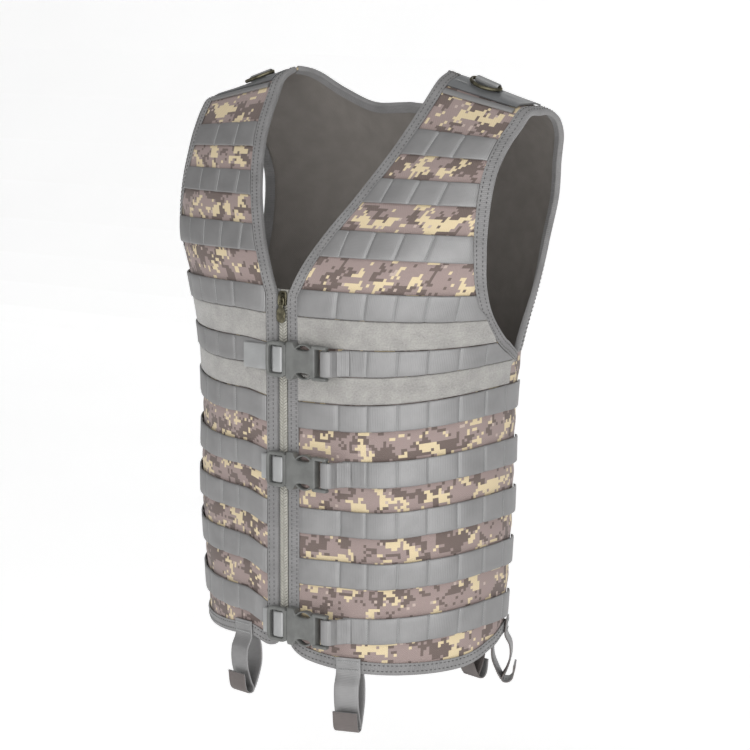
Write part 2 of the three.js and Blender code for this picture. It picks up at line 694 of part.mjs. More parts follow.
const SLIDER = { z: -192, front: coilBack - 2.4 - GAP };
const plateFront = SLIDER.front - 1.8;
const pin = { y: plateFront - 1.9, z: SLIDER.z + 1 };
const slider = box(-4.8, 4.8, plateFront, SLIDER.front, SLIDER.z - 7, SLIDER.z + 7)
  .add(box(-1.5, 1.5, plateFront - 4.6, plateFront + 0.5, SLIDER.z - 3.6, SLIDER.z + 5.6))
  .subtract(box(-2, 2, plateFront - 3.3, plateFront - 0.5, SLIDER.z - 2, SLIDER.z + 4));
addJoined('zip_slider', slider, BRASS);

const PULL_HALF = 0.75;
const PULL = [[-3.9, 0.75], [3.9, 0.75], [3.9, -7], [2.6, -9], [5.2, -12], [5.2, -20], [3.6, -23], [0, -24.3],
  [-3.6, -23], [-5.2, -20], [-5.2, -12], [-2.6, -9], [-3.9, -7]];
const pull = solidFrom(plate(PULL, pin.y + PULL_HALF, pin.y - PULL_HALF))
  .subtract(box(-2.3, 2.3, pin.y - 2, pin.y + 2, -6.6, -PULL_HALF));
addJoined('zip_pull', pull, BRASS).position.z = pin.z;

// Shoulders: a strap over the ridge with a keeper loop, and a ring whose bar turns in the keeper
const STRAP = { from: 106, to: 182, rise: 0.6, edge: 20, ringAt: 136 };
const KEEPER = { radius: 3.6, hole: 2.35, tail: 10, width: 27, sides: 16 };
const RING = { wire: 1.8, half: 16.5, reach: 28, rise: 1, sides: 6, steps: 12 };

function shoulderAngle(x, w, back) {
  const ring = curve(RINGS, 'w', 'half', w);
  const n = curve(RINGS, 'w', back ? 'backN' : 'frontN', w);
  const phi = Math.asin((x / ring) ** (n / 2)) / RAD;
  return back ? 180 - phi : phi;
}

// Place on the strap across the ridge: 0 is its front edge, 1 and 2 the ridge, 3 its back edge.
function strapPoint(x, corner, off) {
  const back = corner > 1;
  const w = corner === 0 || corner === 3 ? STRAP.edge : RIDGE;
  return surf(shoulderAngle(x, w, back), w, WALL + STRAP.rise + off);
}

const strapSections = [0, 0.25, 0.5, 0.75, 1].map((t) => {
  const x = lerp(STRAP.from, STRAP.to, t);
  const low = [0, 1, 2, 3].map((c) => strapPoint(x, c, 0));
  const high = [3, 2, 1, 0].map((c) => strapPoint(x, c, WEB));
  return [...low, ...high];
});
const STRAP_CAPS = [[0, 1, 6], [0, 6, 7], [1, 2, 5], [1, 5, 6], [2, 3, 4], [2, 4, 5]];
const strapSolid = solidOf(loft(strapSections, STRAP_CAPS, false));

const seat = strapPoint(STRAP.ringAt, 1, WEB).lerp(strapPoint(STRAP.ringAt, 2, WEB), 0.5);
const barAxis = strapPoint(STRAP.to, 2, WEB).sub(strapPoint(STRAP.from, 2, WEB)).normalize();
const rearward = strapPoint(STRAP.ringAt, 3, WEB).sub(strapPoint(STRAP.ringAt, 2, WEB));
rearward.addScaledVector(barAxis, -rearward.dot(barAxis)).normalize();
const upward = barAxis.clone().cross(rearward).normalize();
const barCentre = seat.clone().addScaledVector(upward, KEEPER.radius - 0.5);

const circle = (radius) => Array.from({ length: KEEPER.sides }, (_, k) => {
  const turn = (2 * Math.PI * k) / KEEPER.sides;
  return [radius * Math.cos(turn), radius * Math.sin(turn)];
});
const keeperTail = [[0, -KEEPER.radius], [KEEPER.tail, -KEEPER.radius], [KEEPER.tail, -0.9], [0, -0.9]];
const keeperPlace = new THREE.Matrix4().makeBasis(rearward, upward, rearward.clone().cross(upward))
  .setPosition(barCentre);
const keeperPiece = (outline, width) => solidFrom(slab(outline, width, 0).applyMatrix4(keeperPlace));
const keeper = keeperPiece(circle(KEEPER.radius), KEEPER.width)
  .add(keeperPiece(keeperTail, KEEPER.width))
  .subtract(keeperPiece(circle(KEEPER.hole), KEEPER.width + 2));
for (const { name, sign } of SIDES) addJoined(`shoulder_strap_${name}`, strapSolid.add(keeper), GREY, sign);

// The ring lies forward on the strap: a straight bar and a half-oval bow.
const tipOff = WALL + STRAP.rise + WEB + RING.wire + RING.rise;
const tip = surf(shoulderAngle(STRAP.ringAt, RING.reach, false), RING.reach, tipOff);
const forward = tip.sub(barCentre);
forward.addScaledVector(barAxis, -forward.dot(barAxis));
const ringDepth = forward.length();
forward.normalize();
const ringUp = barAxis.clone().cross(forward).normalize();
const ringPath = [];
for (let k = 0; k <= RING.steps; k += 1) {
  const a = Math.PI * (k / RING.steps);
  ringPath.push([RING.half * Math.cos(a), 2.2 + (ringDepth - 2.2) * Math.sin(a)]);
}
ringPath.push([-RING.half + 0.9, 0.6], [-RING.half + 2.6, 0], [0, 0], [RING.half - 2.6, 0], [RING.half - 0.9, 0.6]);

function ringSections(mirror) {
  const count = ringPath.length;
  return ringPath.map((p, i) => {
    const a = ringPath[(i + count - 1) % count];
    const b = ringPath[(i + 1) % count];
    const length = Math.hypot(b[0] - a[0], b[1] - a[1]);
    const out = [(b[1] - a[1]) / length, -(b[0] - a[0]) / length];
    const section = [];
    for (let k = 0; k < RING.sides; k += 1) {
      const turn = (2 * Math.PI * (k + 0.5)) / RING.sides;
      const r = RING.wire * Math.cos(turn);
      const at = barCentre.clone().addScaledVector(barAxis, p[0] + out[0] * r);
      at.addScaledVector(forward, p[1] + out[1] * r).addScaledVector(ringUp, RING.wire * Math.sin(turn));
      section.push(mirror ? V(-at.x, at.y, at.z) : at);
    }
    return section;
  });
}

for (const { name, sign } of SIDES) {
  const made = loft(ringSections(sign < 0), [], true);
  addSolid(`d_ring_${name}`, made.points, made.faces, BRASS);
}

// Belt loops: an inner and an outer strap on either side of the hem, joined at the foot, with a turned-up cuff.
// Each path gives the distance out from the inner face of the hem and the height over its edge.
const LOOP = { width: 25, strap: 1.8, seat: WALL + LEG_GAP + TAPE + GAP, grip: 13, lean: -10, drop: 68 };
const outside = LOOP.seat + LOOP.strap / 2;
const INNER_STRAP = [[-3.7, LOOP.grip - 1], [-3.7, -4], [-6.2, -17], [-6, -36], [-1, -55], [2.4, -64]];
const OUTER_STRAP = [[outside, LOOP.grip], [outside, -3], [10.8, -17], [11, -36], [6.6, -55], [3.2, -64], [4.6, -67.5],
  [9.2, -68], [13, -63], [15.2, -45]];

// The upper part of a loop leans with the cloth, and the rest hangs plumb below it, shortened to its drop.
function beltLoop(lean, drop) {
  const hang = (up) => (up < 0 ? (up * drop) / LOOP.drop : up);
  const leaning = ([out, up]) => [out + lean * Math.max(hang(up), LOOP.lean), hang(up)];
  const part = (path) => solidFrom(slab(ribbon(path.map(leaning), LOOP.strap), LOOP.width, 0));
  return part(INNER_STRAP).add(part(OUTER_STRAP));
}

for (const { name, phi, drop } of BELT_LOOPS) {
  const w = curve(HEM, 'phi', 'w', Math.abs(phi));
  const out = normal(phi, w);
  const lean = -out.z / Math.hypot(out.x, out.y);
  const up = V(0, 0, 1);
  out.setZ(0).normalize();
  const place = new THREE.Matrix4().makeBasis(out, up, out.clone().cross(up)).setPosition(body(phi, w));
  addJoined(name, beltLoop(lean, drop), GREY).applyMatrix4(place);
}

export default root;
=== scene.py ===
# %% [markdown]
# # A load-bearing vest
# The vest is three padded cloth panels, covered on the front with rows of webbing, and closed by a zip and
# three buckles. Everything lies on one curved surface, the cloth, so the lesson starts with that surface
# and then lays each piece on it. Lengths are in millimetres until a mesh is made, as a maker would measure
# them.

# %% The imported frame
import bpy
import numpy as np
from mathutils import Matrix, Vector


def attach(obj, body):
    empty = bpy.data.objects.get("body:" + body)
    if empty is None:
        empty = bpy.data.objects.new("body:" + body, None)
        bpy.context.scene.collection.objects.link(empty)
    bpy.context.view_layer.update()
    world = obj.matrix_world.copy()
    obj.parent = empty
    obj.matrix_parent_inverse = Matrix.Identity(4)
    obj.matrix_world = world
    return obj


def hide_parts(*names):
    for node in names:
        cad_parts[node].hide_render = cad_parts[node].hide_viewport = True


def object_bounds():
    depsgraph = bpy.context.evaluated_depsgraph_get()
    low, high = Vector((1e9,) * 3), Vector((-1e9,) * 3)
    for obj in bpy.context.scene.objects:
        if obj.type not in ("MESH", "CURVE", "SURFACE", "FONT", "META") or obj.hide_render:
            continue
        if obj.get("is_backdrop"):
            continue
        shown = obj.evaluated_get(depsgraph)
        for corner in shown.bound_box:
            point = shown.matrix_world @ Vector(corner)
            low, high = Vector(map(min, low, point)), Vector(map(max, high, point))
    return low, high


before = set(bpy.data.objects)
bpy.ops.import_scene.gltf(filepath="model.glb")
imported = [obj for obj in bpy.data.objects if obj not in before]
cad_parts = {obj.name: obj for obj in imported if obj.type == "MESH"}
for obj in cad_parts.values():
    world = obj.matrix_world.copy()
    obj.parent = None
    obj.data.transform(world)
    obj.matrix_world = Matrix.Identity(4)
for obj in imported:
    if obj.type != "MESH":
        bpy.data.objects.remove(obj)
cad_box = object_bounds()
MM = 0.001

# %% [markdown]
# ## The cloth surface
# A torso could be sculpted, but then nothing else would know where it is. Here it is a function of two
# numbers: the angle phi round the body from the zip, in degrees, and the height w along the cloth. Each
# height has a superellipse ring, a rounded rectangle between a circle and a box, and short tables give the
# ring's sizes.

# %% Sizes of the layers
WALL = 3.0
GAP = 0.35
WEB = 1.6
WEB_WIDTH = 25.0
BINDING = 11.0
ZIP_HALF = 7.6
SIDE_SEAM = 99.8
RIDGE = 38.7
TOP = 39.0
ARMPIT = -254.0
UNDER_ARM = -265.0
SIDE_RISE = 15.0
RIGHT_RISE = 0.045
SLOPE_FROM = 99.0
NECK_PART = 0.18


def table(names, rows):
    """A table with named columns: a dictionary of one array per name."""
    return dict(zip(names.split(), np.array(rows, float).T))


RINGS = table("w z slope half axis front front_n back back_n", [
    (-600, -600, 0, 148, -16, 115, 2.25, 77, 2.25),
    (-500, -500, 0, 158.5, -16, 116.5, 2.25, 75, 2.25),
    (-400, -400, 0, 164, -16, 116.5, 2.25, 82, 2.25),
    (-294, -294, 0, 164.5, -16, 116.5, 2.25, 91, 2.3),
    (-235, -235, 0, 169.5, -16, 116.5, 2.27, 97, 2.4),
    (-178, -178, 0, 184, -16, 116, 2.3, 103, 2.5),
    (-141, -141, 0, 197, -16, 105, 2.4, 104, 2.5),
    (-93, -97, 0, 207, -12, 84, 2.6, 103, 2.6),
    (-38, -50, 0.05, 212, -6, 57, 3, 80, 2.8),
    (4, -10, 0.18, 212, -2, 29, 3.5, 46, 3.8),
    (22, 6, 0.26, 212, -1, 16, 3.8, 24, 3.9),
    (39, 13, 0.33, 212, 0, 0, 4, 0, 4),
])
FOLDS = table("phi w spread drop out", [
    (20, -405, 10, 60, -5),
    (38, -400, 11, 60, 4),
    (62, -450, 12, 45, 3),
    (-24, -420, 11, 55, -4),
    (-46, -400, 12, 60, 3),
])
NECK = table("w phi", [(-190, 1.5), (-166, 4), (-133, 7.6), (-92, 11.4), (-38, 13.7), (5, 13.2), (39, 11.2)])
ARM_FRONT = table("w phi", [
    (-254, 99.9), (-244, 93.5), (-223, 85.4), (-200, 77.7), (-178, 72.5), (-141, 65.9), (-114, 62.2),
    (-83, 58.8), (-55, 57), (-24, 57.5), (0, 59.5), (39, 59.7),
])
ARM_INNER = table("w phi", [
    (-265, 99.2), (-254, 92), (-245, 88.2), (-236, 84.7), (-223, 80.6), (-207, 75.9), (-200, 74),
])
ARM_BACK = table("w phi", [
    (-254, 79.9), (-244, 78), (-223, 75.5), (-200, 71.5), (-178, 66.5), (-141, 58.9), (-93, 55.7),
    (-60, 56.2), (-38, 58), (0, 60), (39, 59.7),
])
HEM = table("phi w", [
    (0, -517), (4, -530), (8.5, -536), (20, -541), (45, -547), (70, -551), (80, -549), (90, -541),
    (100, -533), (112, -533), (130, -541), (180, -546),
])
BACK_TOP = table("part w", [(0, -16), (0.07, -12), (0.12, 4), (0.155, 20), (NECK_PART, RIDGE), (1, RIDGE)])
ROW_TOPS = np.array([-23, -74, -127, -182, -236, -288, -341, -389, -438, -491], float)
print("rings:", len(RINGS["w"]), "rows of webbing:", len(ROW_TOPS))

# %% The surface as a function


def stack(*columns):
    """Columns side by side in the last axis; a single number is repeated."""
    return np.stack(np.broadcast_arrays(*columns), -1)


def signed(v, n):
    """The n-th power of |v| with the sign of v."""
    return np.sign(v) * np.abs(v) ** n


def ramp(x, start, end):
    """Soft step from 0 at start to 1 at end: 3t² - 2t³, with t the share of the way."""
    t = np.clip((x - start) / (end - start), 0, 1)
    return t * t * (3 - 2 * t)


def curve(xs, ys, at):
    """Reads a table between its rows by cubic pieces, whose slope at a row joins its two neighbours."""
    slope = np.gradient(ys) / np.gradient(xs)
    at = np.clip(at, xs[0], xs[-1])
    i = np.clip(np.searchsorted(xs, at) - 1, 0, len(xs) - 2)
    h = xs[i + 1] - xs[i]
    t = (at - xs[i]) / h
    rise = 3 * t**2 - 2 * t**3
    return ((1 - rise) * ys[i] + rise * ys[i + 1]
            + h * (t**3 - 2 * t**2 + t) * slope[i] + h * (t**3 - t**2) * slope[i + 1])


def ring(column, w):
    """One size of the torso ring at height w."""
    return curve(RINGS["w"], RINGS[column], w)


def body(phi, w):
    """Inner face of the cloth: x is half·|sin|^(2/n), y is depth·|cos|^(2/n), and folds push it in or out.
    Rows climb by SIDE_RISE towards the side seams, and low rows on the right by a share more."""
    phi, w = np.broadcast_arrays(np.asarray(phi, float), np.asarray(w, float))
    phi = np.where(phi > 180, phi - 360, phi)
    turn = np.abs(phi)
    climb = SIDE_RISE * ramp(turn, 20, 95) * ramp(w, -190, -290) * ramp(turn, 200, 140)
    lift = RIGHT_RISE * np.maximum(0, -150 - w) * ramp(turn, 0, 15) * ramp(turn, 170, 110)
    v = w + climb + np.where(phi < 0, lift, 0)
    s = np.sin(np.radians(phi))
    c = np.cos(np.radians(phi))
    n = np.where(c > 0, ring("front_n", v), ring("back_n", v))
    depth = np.where(c > 0, -ring("front", v), ring("back", v))
    x = ring("half", v) * signed(s, 2 / n)
    y = ring("axis", v) + depth * np.abs(c) ** (2 / n)
    z = ring("z", v) - ring("slope", v) * (np.abs(x) - SLOPE_FROM)
    beside = (phi[..., None] - FOLDS["phi"]) / FOLDS["spread"]
    above = (w[..., None] - FOLDS["w"]) / FOLDS["drop"]
    out = (FOLDS["out"] * np.exp(-(beside**2 + above**2))).sum(-1)
    return stack(x + out * s, y - out * c, z)


def unit(v):
    """Vectors scaled to length one."""
    return v / np.maximum(np.linalg.norm(v, axis=-1, keepdims=True), 1e-9)


def normal(phi, w):
    """Outward normal: the cross product of a short step round the body and a short step up it."""
    phi, w = np.broadcast_arrays(np.asarray(phi, float), np.asarray(w, float))
    across = body(phi + 0.1, w) - body(phi - 0.1, w)
    up = body(phi, np.minimum(TOP, w + 0.6)) - body(phi, w - 0.6)
    return unit(np.cross(across, up))


def cloth(phi, w, off):
    """A point off the inner face; WALL is the outer face of the cloth."""
    off = np.asarray(off, float)
    return body(phi, w) + off[..., None] * normal(phi, w)


def walk(phi, w, length):
    """Angle reached after a length along a row, in ten steps of the local speed in mm per degree."""
    at = np.asarray(phi, float)
    for _ in range(10):
        speed = np.linalg.norm(body(at + 0.1, w) - body(at - 0.1, w), axis=-1) / 0.2
        at = at + length / 10 / speed
    return at


def angle_of(x, w):
    """Angle at which the front stands at a side distance x."""
    return np.degrees(np.arcsin((x / ring("half", w)) ** (ring("front_n", w) / 2)))


def hem(phi):
    """Height of the lower edge at an angle from the zip."""
    turn = np.where(phi > 180, 360 - phi, np.abs(phi))
    return curve(HEM["phi"], HEM["w"], turn)


def front_edges(w):
    """Angles of the zip or neck edge and of the side or armhole edge of a front at height w."""
    zip_edge = angle_of(ZIP_HALF, w)
    neck = np.maximum(zip_edge, curve(NECK["w"], NECK["phi"], w))
    arm = curve(ARM_FRONT["w"], ARM_FRONT["phi"], w)
    return np.where(w < NECK["w"][0], zip_edge, neck), np.where(w <= ARMPIT, SIDE_SEAM, arm)


def taped_edges(w):
    """Angles of the inner lines of the tapes on a front's two edges."""
    inner, outer = front_edges(w)
    under_arm = (w >= UNDER_ARM) & (w <= ARM_INNER["w"][-1])
    arm = np.where(under_arm, curve(ARM_INNER["w"], ARM_INNER["phi"], w), walk(outer, w, -BINDING))
    return walk(inner, w, BINDING + 0.5), arm


print("chest half width:", round(float(body(90, -178)[0]), 1), "mm")

# %% [markdown]
# ## From arrays to meshes
# Most pieces here are a closed profile carried along a path, so one function joins the profiles with quads.
# A sheet is such a piece too: its profile is the outer face one way and the inner face back again. A
# Solidify modifier could give the thickness, but two computed faces keep every layer exactly where it lies.

# %% Mesh tools


def loft(sections, uv=None, ring=False, lining=0):
    """Quads between profiles. sections is (n, k, 3); point a joins point a of the next profile, and an open
    end is closed by strips between points a and k - 1 - a. lining counts the last points of a profile that
    face inwards."""
    n, k = sections.shape[:2]
    index = np.arange(n * k).reshape(n, k)
    here = index if ring else index[:-1]
    there = np.roll(index, -1, 0) if ring else index[1:]
    faces = stack(here, np.roll(here, -1, 1), np.roll(there, -1, 1), there).reshape(-1, 4)
    inside = np.tile(np.arange(k) >= k - lining, len(here))
    if not ring:
        a = np.arange(k // 2 - 1)
        cap = stack(a, a + 1, k - 2 - a, k - 1 - a)
        faces = np.concatenate([faces, index[0][cap][:, ::-1], index[-1][cap]])
        inside = np.concatenate([inside, np.zeros(2 * len(cap), bool)])
    points = sections.reshape(-1, 3)
    a, b, c, d = ((points - points.mean(0))[faces[:, i]] for i in range(4))
    if (a * np.cross(b, c) + a * np.cross(c, d)).sum() < 0:
        faces = faces[:, ::-1]
    uv = np.zeros((len(points), 2)) if uv is None else uv.reshape(-1, 2)
    return {"points": points, "faces": faces, "uv": uv, "inside": inside.astype(np.int32)}


def shell(outer, inner, uv):
    """A sheet between two grids of points; the inner face takes the second material."""
    sections = np.concatenate([outer, inner[:, ::-1]], 1)
    return loft(sections, np.concatenate([uv, uv[:, ::-1]], 1), lining=outer.shape[1])


def join(parts):
    """Several lofts as one."""
    starts = np.cumsum([0] + [len(p["points"]) for p in parts[:-1]])
    made = {key: np.concatenate([p[key] for p in parts]) for key in ("points", "uv", "inside")}
    made["faces"] = np.concatenate([p["faces"] + start for p, start in zip(parts, starts)])
    return made


def add_piece(name, parts, materials, body="vest", nodes=(), sharp=40):
    """One mesh object from lofts, riding on a body and standing for the nodes that it replaces."""
    made = join(parts)
    faces = made["faces"].astype(np.int32)
    mesh = bpy.data.meshes.new(name)
    mesh.vertices.add(len(made["points"]))
    mesh.vertices.foreach_set("co", (made["points"] * MM).ravel())
    mesh.loops.add(faces.size)
    mesh.loops.foreach_set("vertex_index", faces.ravel())
    mesh.polygons.add(len(faces))
    mesh.polygons.foreach_set("loop_start", np.arange(0, faces.size, 4, dtype=np.int32))
    mesh.polygons.foreach_set("use_smooth", np.ones(len(faces), bool))
    mesh.polygons.foreach_set("material_index", np.minimum(made["inside"], len(materials) - 1))
    mesh.update(calc_edges=True)
    layer = mesh.uv_layers.new(name="cloth")
    layer.uv.foreach_set("vector", made["uv"][faces.ravel()].ravel())
    mesh.set_sharp_from_angle(angle=np.radians(sharp))
    for material in materials:
        mesh.materials.append(material)
    piece = bpy.data.objects.new(name, mesh)
    bpy.context.collection.objects.link(piece)
    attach(piece, body)
    if nodes:
        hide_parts(*nodes)
    return piece


def lengths(points):
    """Running length along the first axis of an array of points."""
    steps = np.linalg.norm(np.diff(points, axis=0), axis=-1)
    return np.concatenate([np.zeros_like(steps[:1]), np.cumsum(steps, 0)])


def spline(points, steps):
    """Smooth path through points: the cubic table reading of each coordinate against the running length."""
    points = np.asarray(points, float)
    s = lengths(points)
    at = np.linspace(0, s[-1], steps)
    return stack(*(curve(s, column, at) for column in points.T))


EDGE = np.array([-1, -0.97, -0.9, -0.5, 0, 0.5, 0.9, 0.97, 1])
EDGE_THICK = np.array([0.3, 0.75, 1, 1, 1, 1, 1, 0.75, 0.3])
MIDDLE = len(EDGE) // 2


def ribbon(path, across, width, thick):
    """A strap: a flat profile with thinned edges, square to the path, carried along it."""
    across = np.broadcast_to(across, path.shape)
    up = unit(np.cross(np.gradient(path, axis=0), across))
    side = across[:, None] * (EDGE * width / 2)[:, None]
    rise = up[:, None] * (EDGE_THICK * thick / 2)[:, None]
    middle = path[:, None] + side
    uv = stack(lengths(path)[:, None], EDGE * width / 2) * MM
    return shell(middle + rise, middle - rise, uv)


print("mesh tools ready")

# %% [markdown]
# ## Finishes
# Each finish starts from the real material. Cloth and tape read the piece's own UV map, which is in metres
# along and across the cloth, so threads and print follow the folds. Hard pieces read Object coordinates.

# %% Material tools


def linear(code):
    """sRGB hex to the linear colour that the shader works with."""
    s = np.array([int(code[i:i + 2], 16) for i in (1, 3, 5)]) / 255
    rgb = np.where(s <= 0.04045, s / 12.92, ((s + 0.055) / 1.055) ** 2.4)
    return (*(float(c) for c in rgb), 1.0)


def add_node(tree, kind, settings, inputs):
    """A node with its settings. An input that is given a socket is linked, and one given a value is set."""
    made = tree.nodes.new(kind)
    for key, value in settings.items():
        setattr(made, key, value)
    for key, value in inputs.items():
        if isinstance(value, bpy.types.NodeSocket):
            tree.links.new(value, made.inputs[key])
        else:
            made.inputs[key].default_value = value
    return made


def new_material(name, roughness, sheen=0.0, metallic=0.0):
    """An empty material with its shader's plain values set on the shader's own sockets."""
    material = bpy.data.materials.new(name)
    material.use_nodes = True
    shader = material.node_tree.nodes["Principled BSDF"]
    shader.inputs["Roughness"].default_value = roughness
    shader.inputs["Sheen Weight"].default_value = sheen
    shader.inputs["Metallic"].default_value = metallic
    return material, material.node_tree, shader


def mottle(tree, place, size, dark, light):
    """Colour that wanders between two hex colours in patches of a size in mm."""
    noise = add_node(tree, "ShaderNodeTexNoise", {}, {
        "Vector": place, "Scale": 1 / (size * MM), "Detail": 3.0})
    ramp = add_node(tree, "ShaderNodeValToRGB", {}, {"Fac": noise.outputs["Fac"]})
    ramp.color_ramp.elements[0].position = 0.35
    ramp.color_ramp.elements[0].color = linear(dark)
    ramp.color_ramp.elements[1].position = 0.65
    ramp.color_ramp.elements[1].color = linear(light)
    return ramp.outputs["Color"]


def waves(tree, place, pitch_u, pitch_v):
    """Sines of the two cloth directions, one wave per pitch in mm, as two sockets."""
    speed = (2 * np.pi / (pitch_u * MM), 2 * np.pi / (pitch_v * MM), 0.0)
    turned = add_node(tree, "ShaderNodeVectorMath", {"operation": "MULTIPLY"}, {0: place, 1: speed})
    sine = add_node(tree, "ShaderNodeVectorMath", {"operation": "SINE"}, {0: turned.outputs[0]})
    parts = add_node(tree, "ShaderNodeSeparateXYZ", {}, {0: sine.outputs[0]})
    return parts.outputs["X"], parts.outputs["Y"]


def emboss(tree, shader, height, depth):
    """Bump of a height field, depth in mm."""
    bump = add_node(tree, "ShaderNodeBump", {}, {"Height": height, "Strength": 1.0, "Distance": depth * MM})
    tree.links.new(bump.outputs["Normal"], shader.inputs["Normal"])


print("material tools ready")

# %% [markdown]
# ### Printed oxford cloth
# A basket-woven polyester with a print of square dots. The dots come from snapping the UV map to a square
# grid before it reaches the noise, so that each square holds one colour. Three noises choose between four
# dyes, one after another, which gives ragged stepped patches with no picture behind them.

# %% Camouflage cloth
DOT = 2.8
DYES = {"mauve": "#948480", "brown": "#695C57", "sand": "#D1C09D", "pale": "#B6A59C"}
# dye, size of its patches in mm, stretch, shift, and the level of noise where it starts
PRINTS = (("brown", 25, 1.15, 3.1, 0.52), ("sand", 21, 1.1, 7.7, 0.555), ("pale", 9, 1.0, 1.9, 0.64))
OXFORD = 2.2


def basket_weave(tree, shader, place, depth):
    """Bump of a basket weave: the product of the sines of the two cloth directions, depth in mm."""
    along, across = waves(tree, place, OXFORD, OXFORD)
    weave = add_node(tree, "ShaderNodeMath", {"operation": "MULTIPLY"}, {0: along, 1: across})
    emboss(tree, shader, weave.outputs[0], depth)


def camouflage_cloth():
    """Printed oxford weave: matt, soft at grazing light, its threads drawn at twice their width to show."""
    material, tree, shader = new_material("printed_oxford_cloth", 0.85, sheen=0.15)
    place = add_node(tree, "ShaderNodeUVMap", {"uv_map": "cloth"}, {}).outputs[0]
    dots = add_node(tree, "ShaderNodeVectorMath", {"operation": "SNAP"}, {0: place, 1: (DOT * MM,) * 3})
    colour = linear(DYES["mauve"])
    for dye, size, stretch, shift, limit in PRINTS:
        moved = add_node(tree, "ShaderNodeMapping", {}, {
            "Vector": dots.outputs[0], "Location": (shift, shift, 0), "Scale": (1, stretch, 1)})
        noise = add_node(tree, "ShaderNodeTexNoise", {}, {
            "Vector": moved.outputs[0], "Scale": 1 / (size * MM), "Detail": 4.0, "Roughness": 0.7})
        over = add_node(tree, "ShaderNodeMath", {"operation": "GREATER_THAN"}, {
            0: noise.outputs["Fac"], 1: limit})
        mix = add_node(tree, "ShaderNodeMix", {"data_type": "RGBA"}, {
            0: over.outputs[0], 6: colour, 7: linear(DYES[dye])})
        colour = mix.outputs[2]
    tree.links.new(colour, shader.inputs["Base Color"])
    basket_weave(tree, shader, place, 0.12)
    return material


def coated_reverse():
    """Inside of the cloth: a thin grey coating over the weave, a little smoother than the face."""
    material, tree, shader = new_material("coated_cloth_reverse", 0.7)
    place = add_node(tree, "ShaderNodeUVMap", {"uv_map": "cloth"}, {}).outputs[0]
    tree.links.new(mottle(tree, place, 18, "#77726D", "#7E7974"), shader.inputs["Base Color"])
    basket_weave(tree, shader, place, 0.06)
    return material


CAMOUFLAGE = camouflage_cloth()
REVERSE = coated_reverse()
print("dots of", DOT, "mm in", len(DYES), "dyes")

# %% [markdown]
# ### Webbing, tapes and loop fabric
# Nylon webbing is woven in ribs across its length from smooth filaments, so it has a satin gloss: dark
# where it mirrors nothing, and light where it mirrors a lamp. Nylon's index of refraction, 1.53, is raised
# so that the gloss shows on ribs this small. Edge tape has finer ribs, and loop fabric is brushed into a
# pile that looks like grains. All are greys that differ by their surface. Each has painted shade that darkens
# its colour in the grooves between the ribs and in the hollows of the pile.

# %% Woven greys


def woven(name, dark, light, pitch, depth, roughness, sheen=0.0, ior=1.5):
    """Ribbed weave: a rib per first pitch along the strap, broken by a line per second pitch across it,
    with painted shade that darkens the colour in the grooves between the ribs.
    """
    material, tree, shader = new_material(name, roughness, sheen)
    shader.inputs["IOR"].default_value = ior
    place = add_node(tree, "ShaderNodeUVMap", {"uv_map": "cloth"}, {}).outputs[0]
    along, across = waves(tree, place, *pitch)
    lines = add_node(tree, "ShaderNodeMath", {"operation": "MULTIPLY_ADD"}, {0: across, 1: 0.35, 2: along})
    # painted shade: the colour is scaled down where the rib bump is low, in the grooves between ribs
    shade = add_node(tree, "ShaderNodeMapRange", {}, {
        "Value": lines.outputs[0], "From Min": -1.4, "From Max": 1.4, "To Min": 0.94, "To Max": 1.03})
    base = mottle(tree, place, 22, dark, light)
    groove_shaded_colour = add_node(tree, "ShaderNodeVectorMath", {"operation": "SCALE"}, {
        0: base, "Scale": shade.outputs[0]})
    tree.links.new(groove_shaded_colour.outputs[0], shader.inputs["Base Color"])
    emboss(tree, shader, lines.outputs[0], depth)
    return material


def loop_fabric():
    """Brushed loops: a matt pile of grains about two millimetres wide, with painted shade in the hollows of
    the pile and painted light at its tips.
    """
    material, tree, shader = new_material("brushed_loop_fabric", 0.95, sheen=0.4)
    place = add_node(tree, "ShaderNodeUVMap", {"uv_map": "cloth"}, {}).outputs[0]
    pile = add_node(tree, "ShaderNodeTexNoise", {}, {
        "Vector": place, "Scale": 1 / (1.8 * MM), "Detail": 2.0, "Roughness": 0.7})
    # painted shade and light: the pile's height darkens the colour in its hollows and lightens it at the tips
    painted_pile_shade = add_node(tree, "ShaderNodeMapRange", {}, {
        "Value": pile.outputs["Fac"], "From Min": 0.3, "From Max": 0.7, "To Min": 0.8, "To Max": 1.08})
    base = mottle(tree, place, 14, "#959390", "#A3A19D")
    grain = add_node(tree, "ShaderNodeVectorMath", {"operation": "SCALE"}, {
        0: base, "Scale": painted_pile_shade.outputs[0]})
    tree.links.new(grain.outputs[0], shader.inputs["Base Color"])
    emboss(tree, shader, pile.outputs["Fac"], 0.8)
    return material


FILAMENT_IOR = 2.25
RIBS = (1.6, 1.3)
WEBBING = woven("nylon_webbing", "#646363", "#706F6F", RIBS, 0.05, 0.48, ior=FILAMENT_IOR)
PALE_WEBBING = woven("nylon_webbing_pale", "#808181", "#8C8D8D", RIBS, 0.06, 0.42, ior=FILAMENT_IOR)
DARK_WEBBING = woven("nylon_webbing_dark", "#5C5E60", "#686A6C", RIBS, 0.06, 0.42, ior=FILAMENT_IOR)
# reverse face: the webbing's own weave, painted darker and browner as shade for the belt loops' cuffs and
# insides
SHADE_DARK_WEBBING_REVERSE = woven("nylon_webbing_reverse_painted_shade", "#5E5856", "#68615F", RIBS, 0.06, 0.7)
TAPE_CLOTH = woven("grosgrain_edge_tape", "#787777", "#848383", (1.8, 2.4), 0.1, 0.7, sheen=0.2)
ZIP_CLOTH = woven("woven_zip_tape", "#7D7C7A", "#898886", (1.5, 2.0), 0.1, 0.75, sheen=0.2)
THREAD = woven("polyester_thread", "#9B9C9C", "#A9AAAA", (1.0, 1.0), 0.02, 0.5, sheen=0.1)
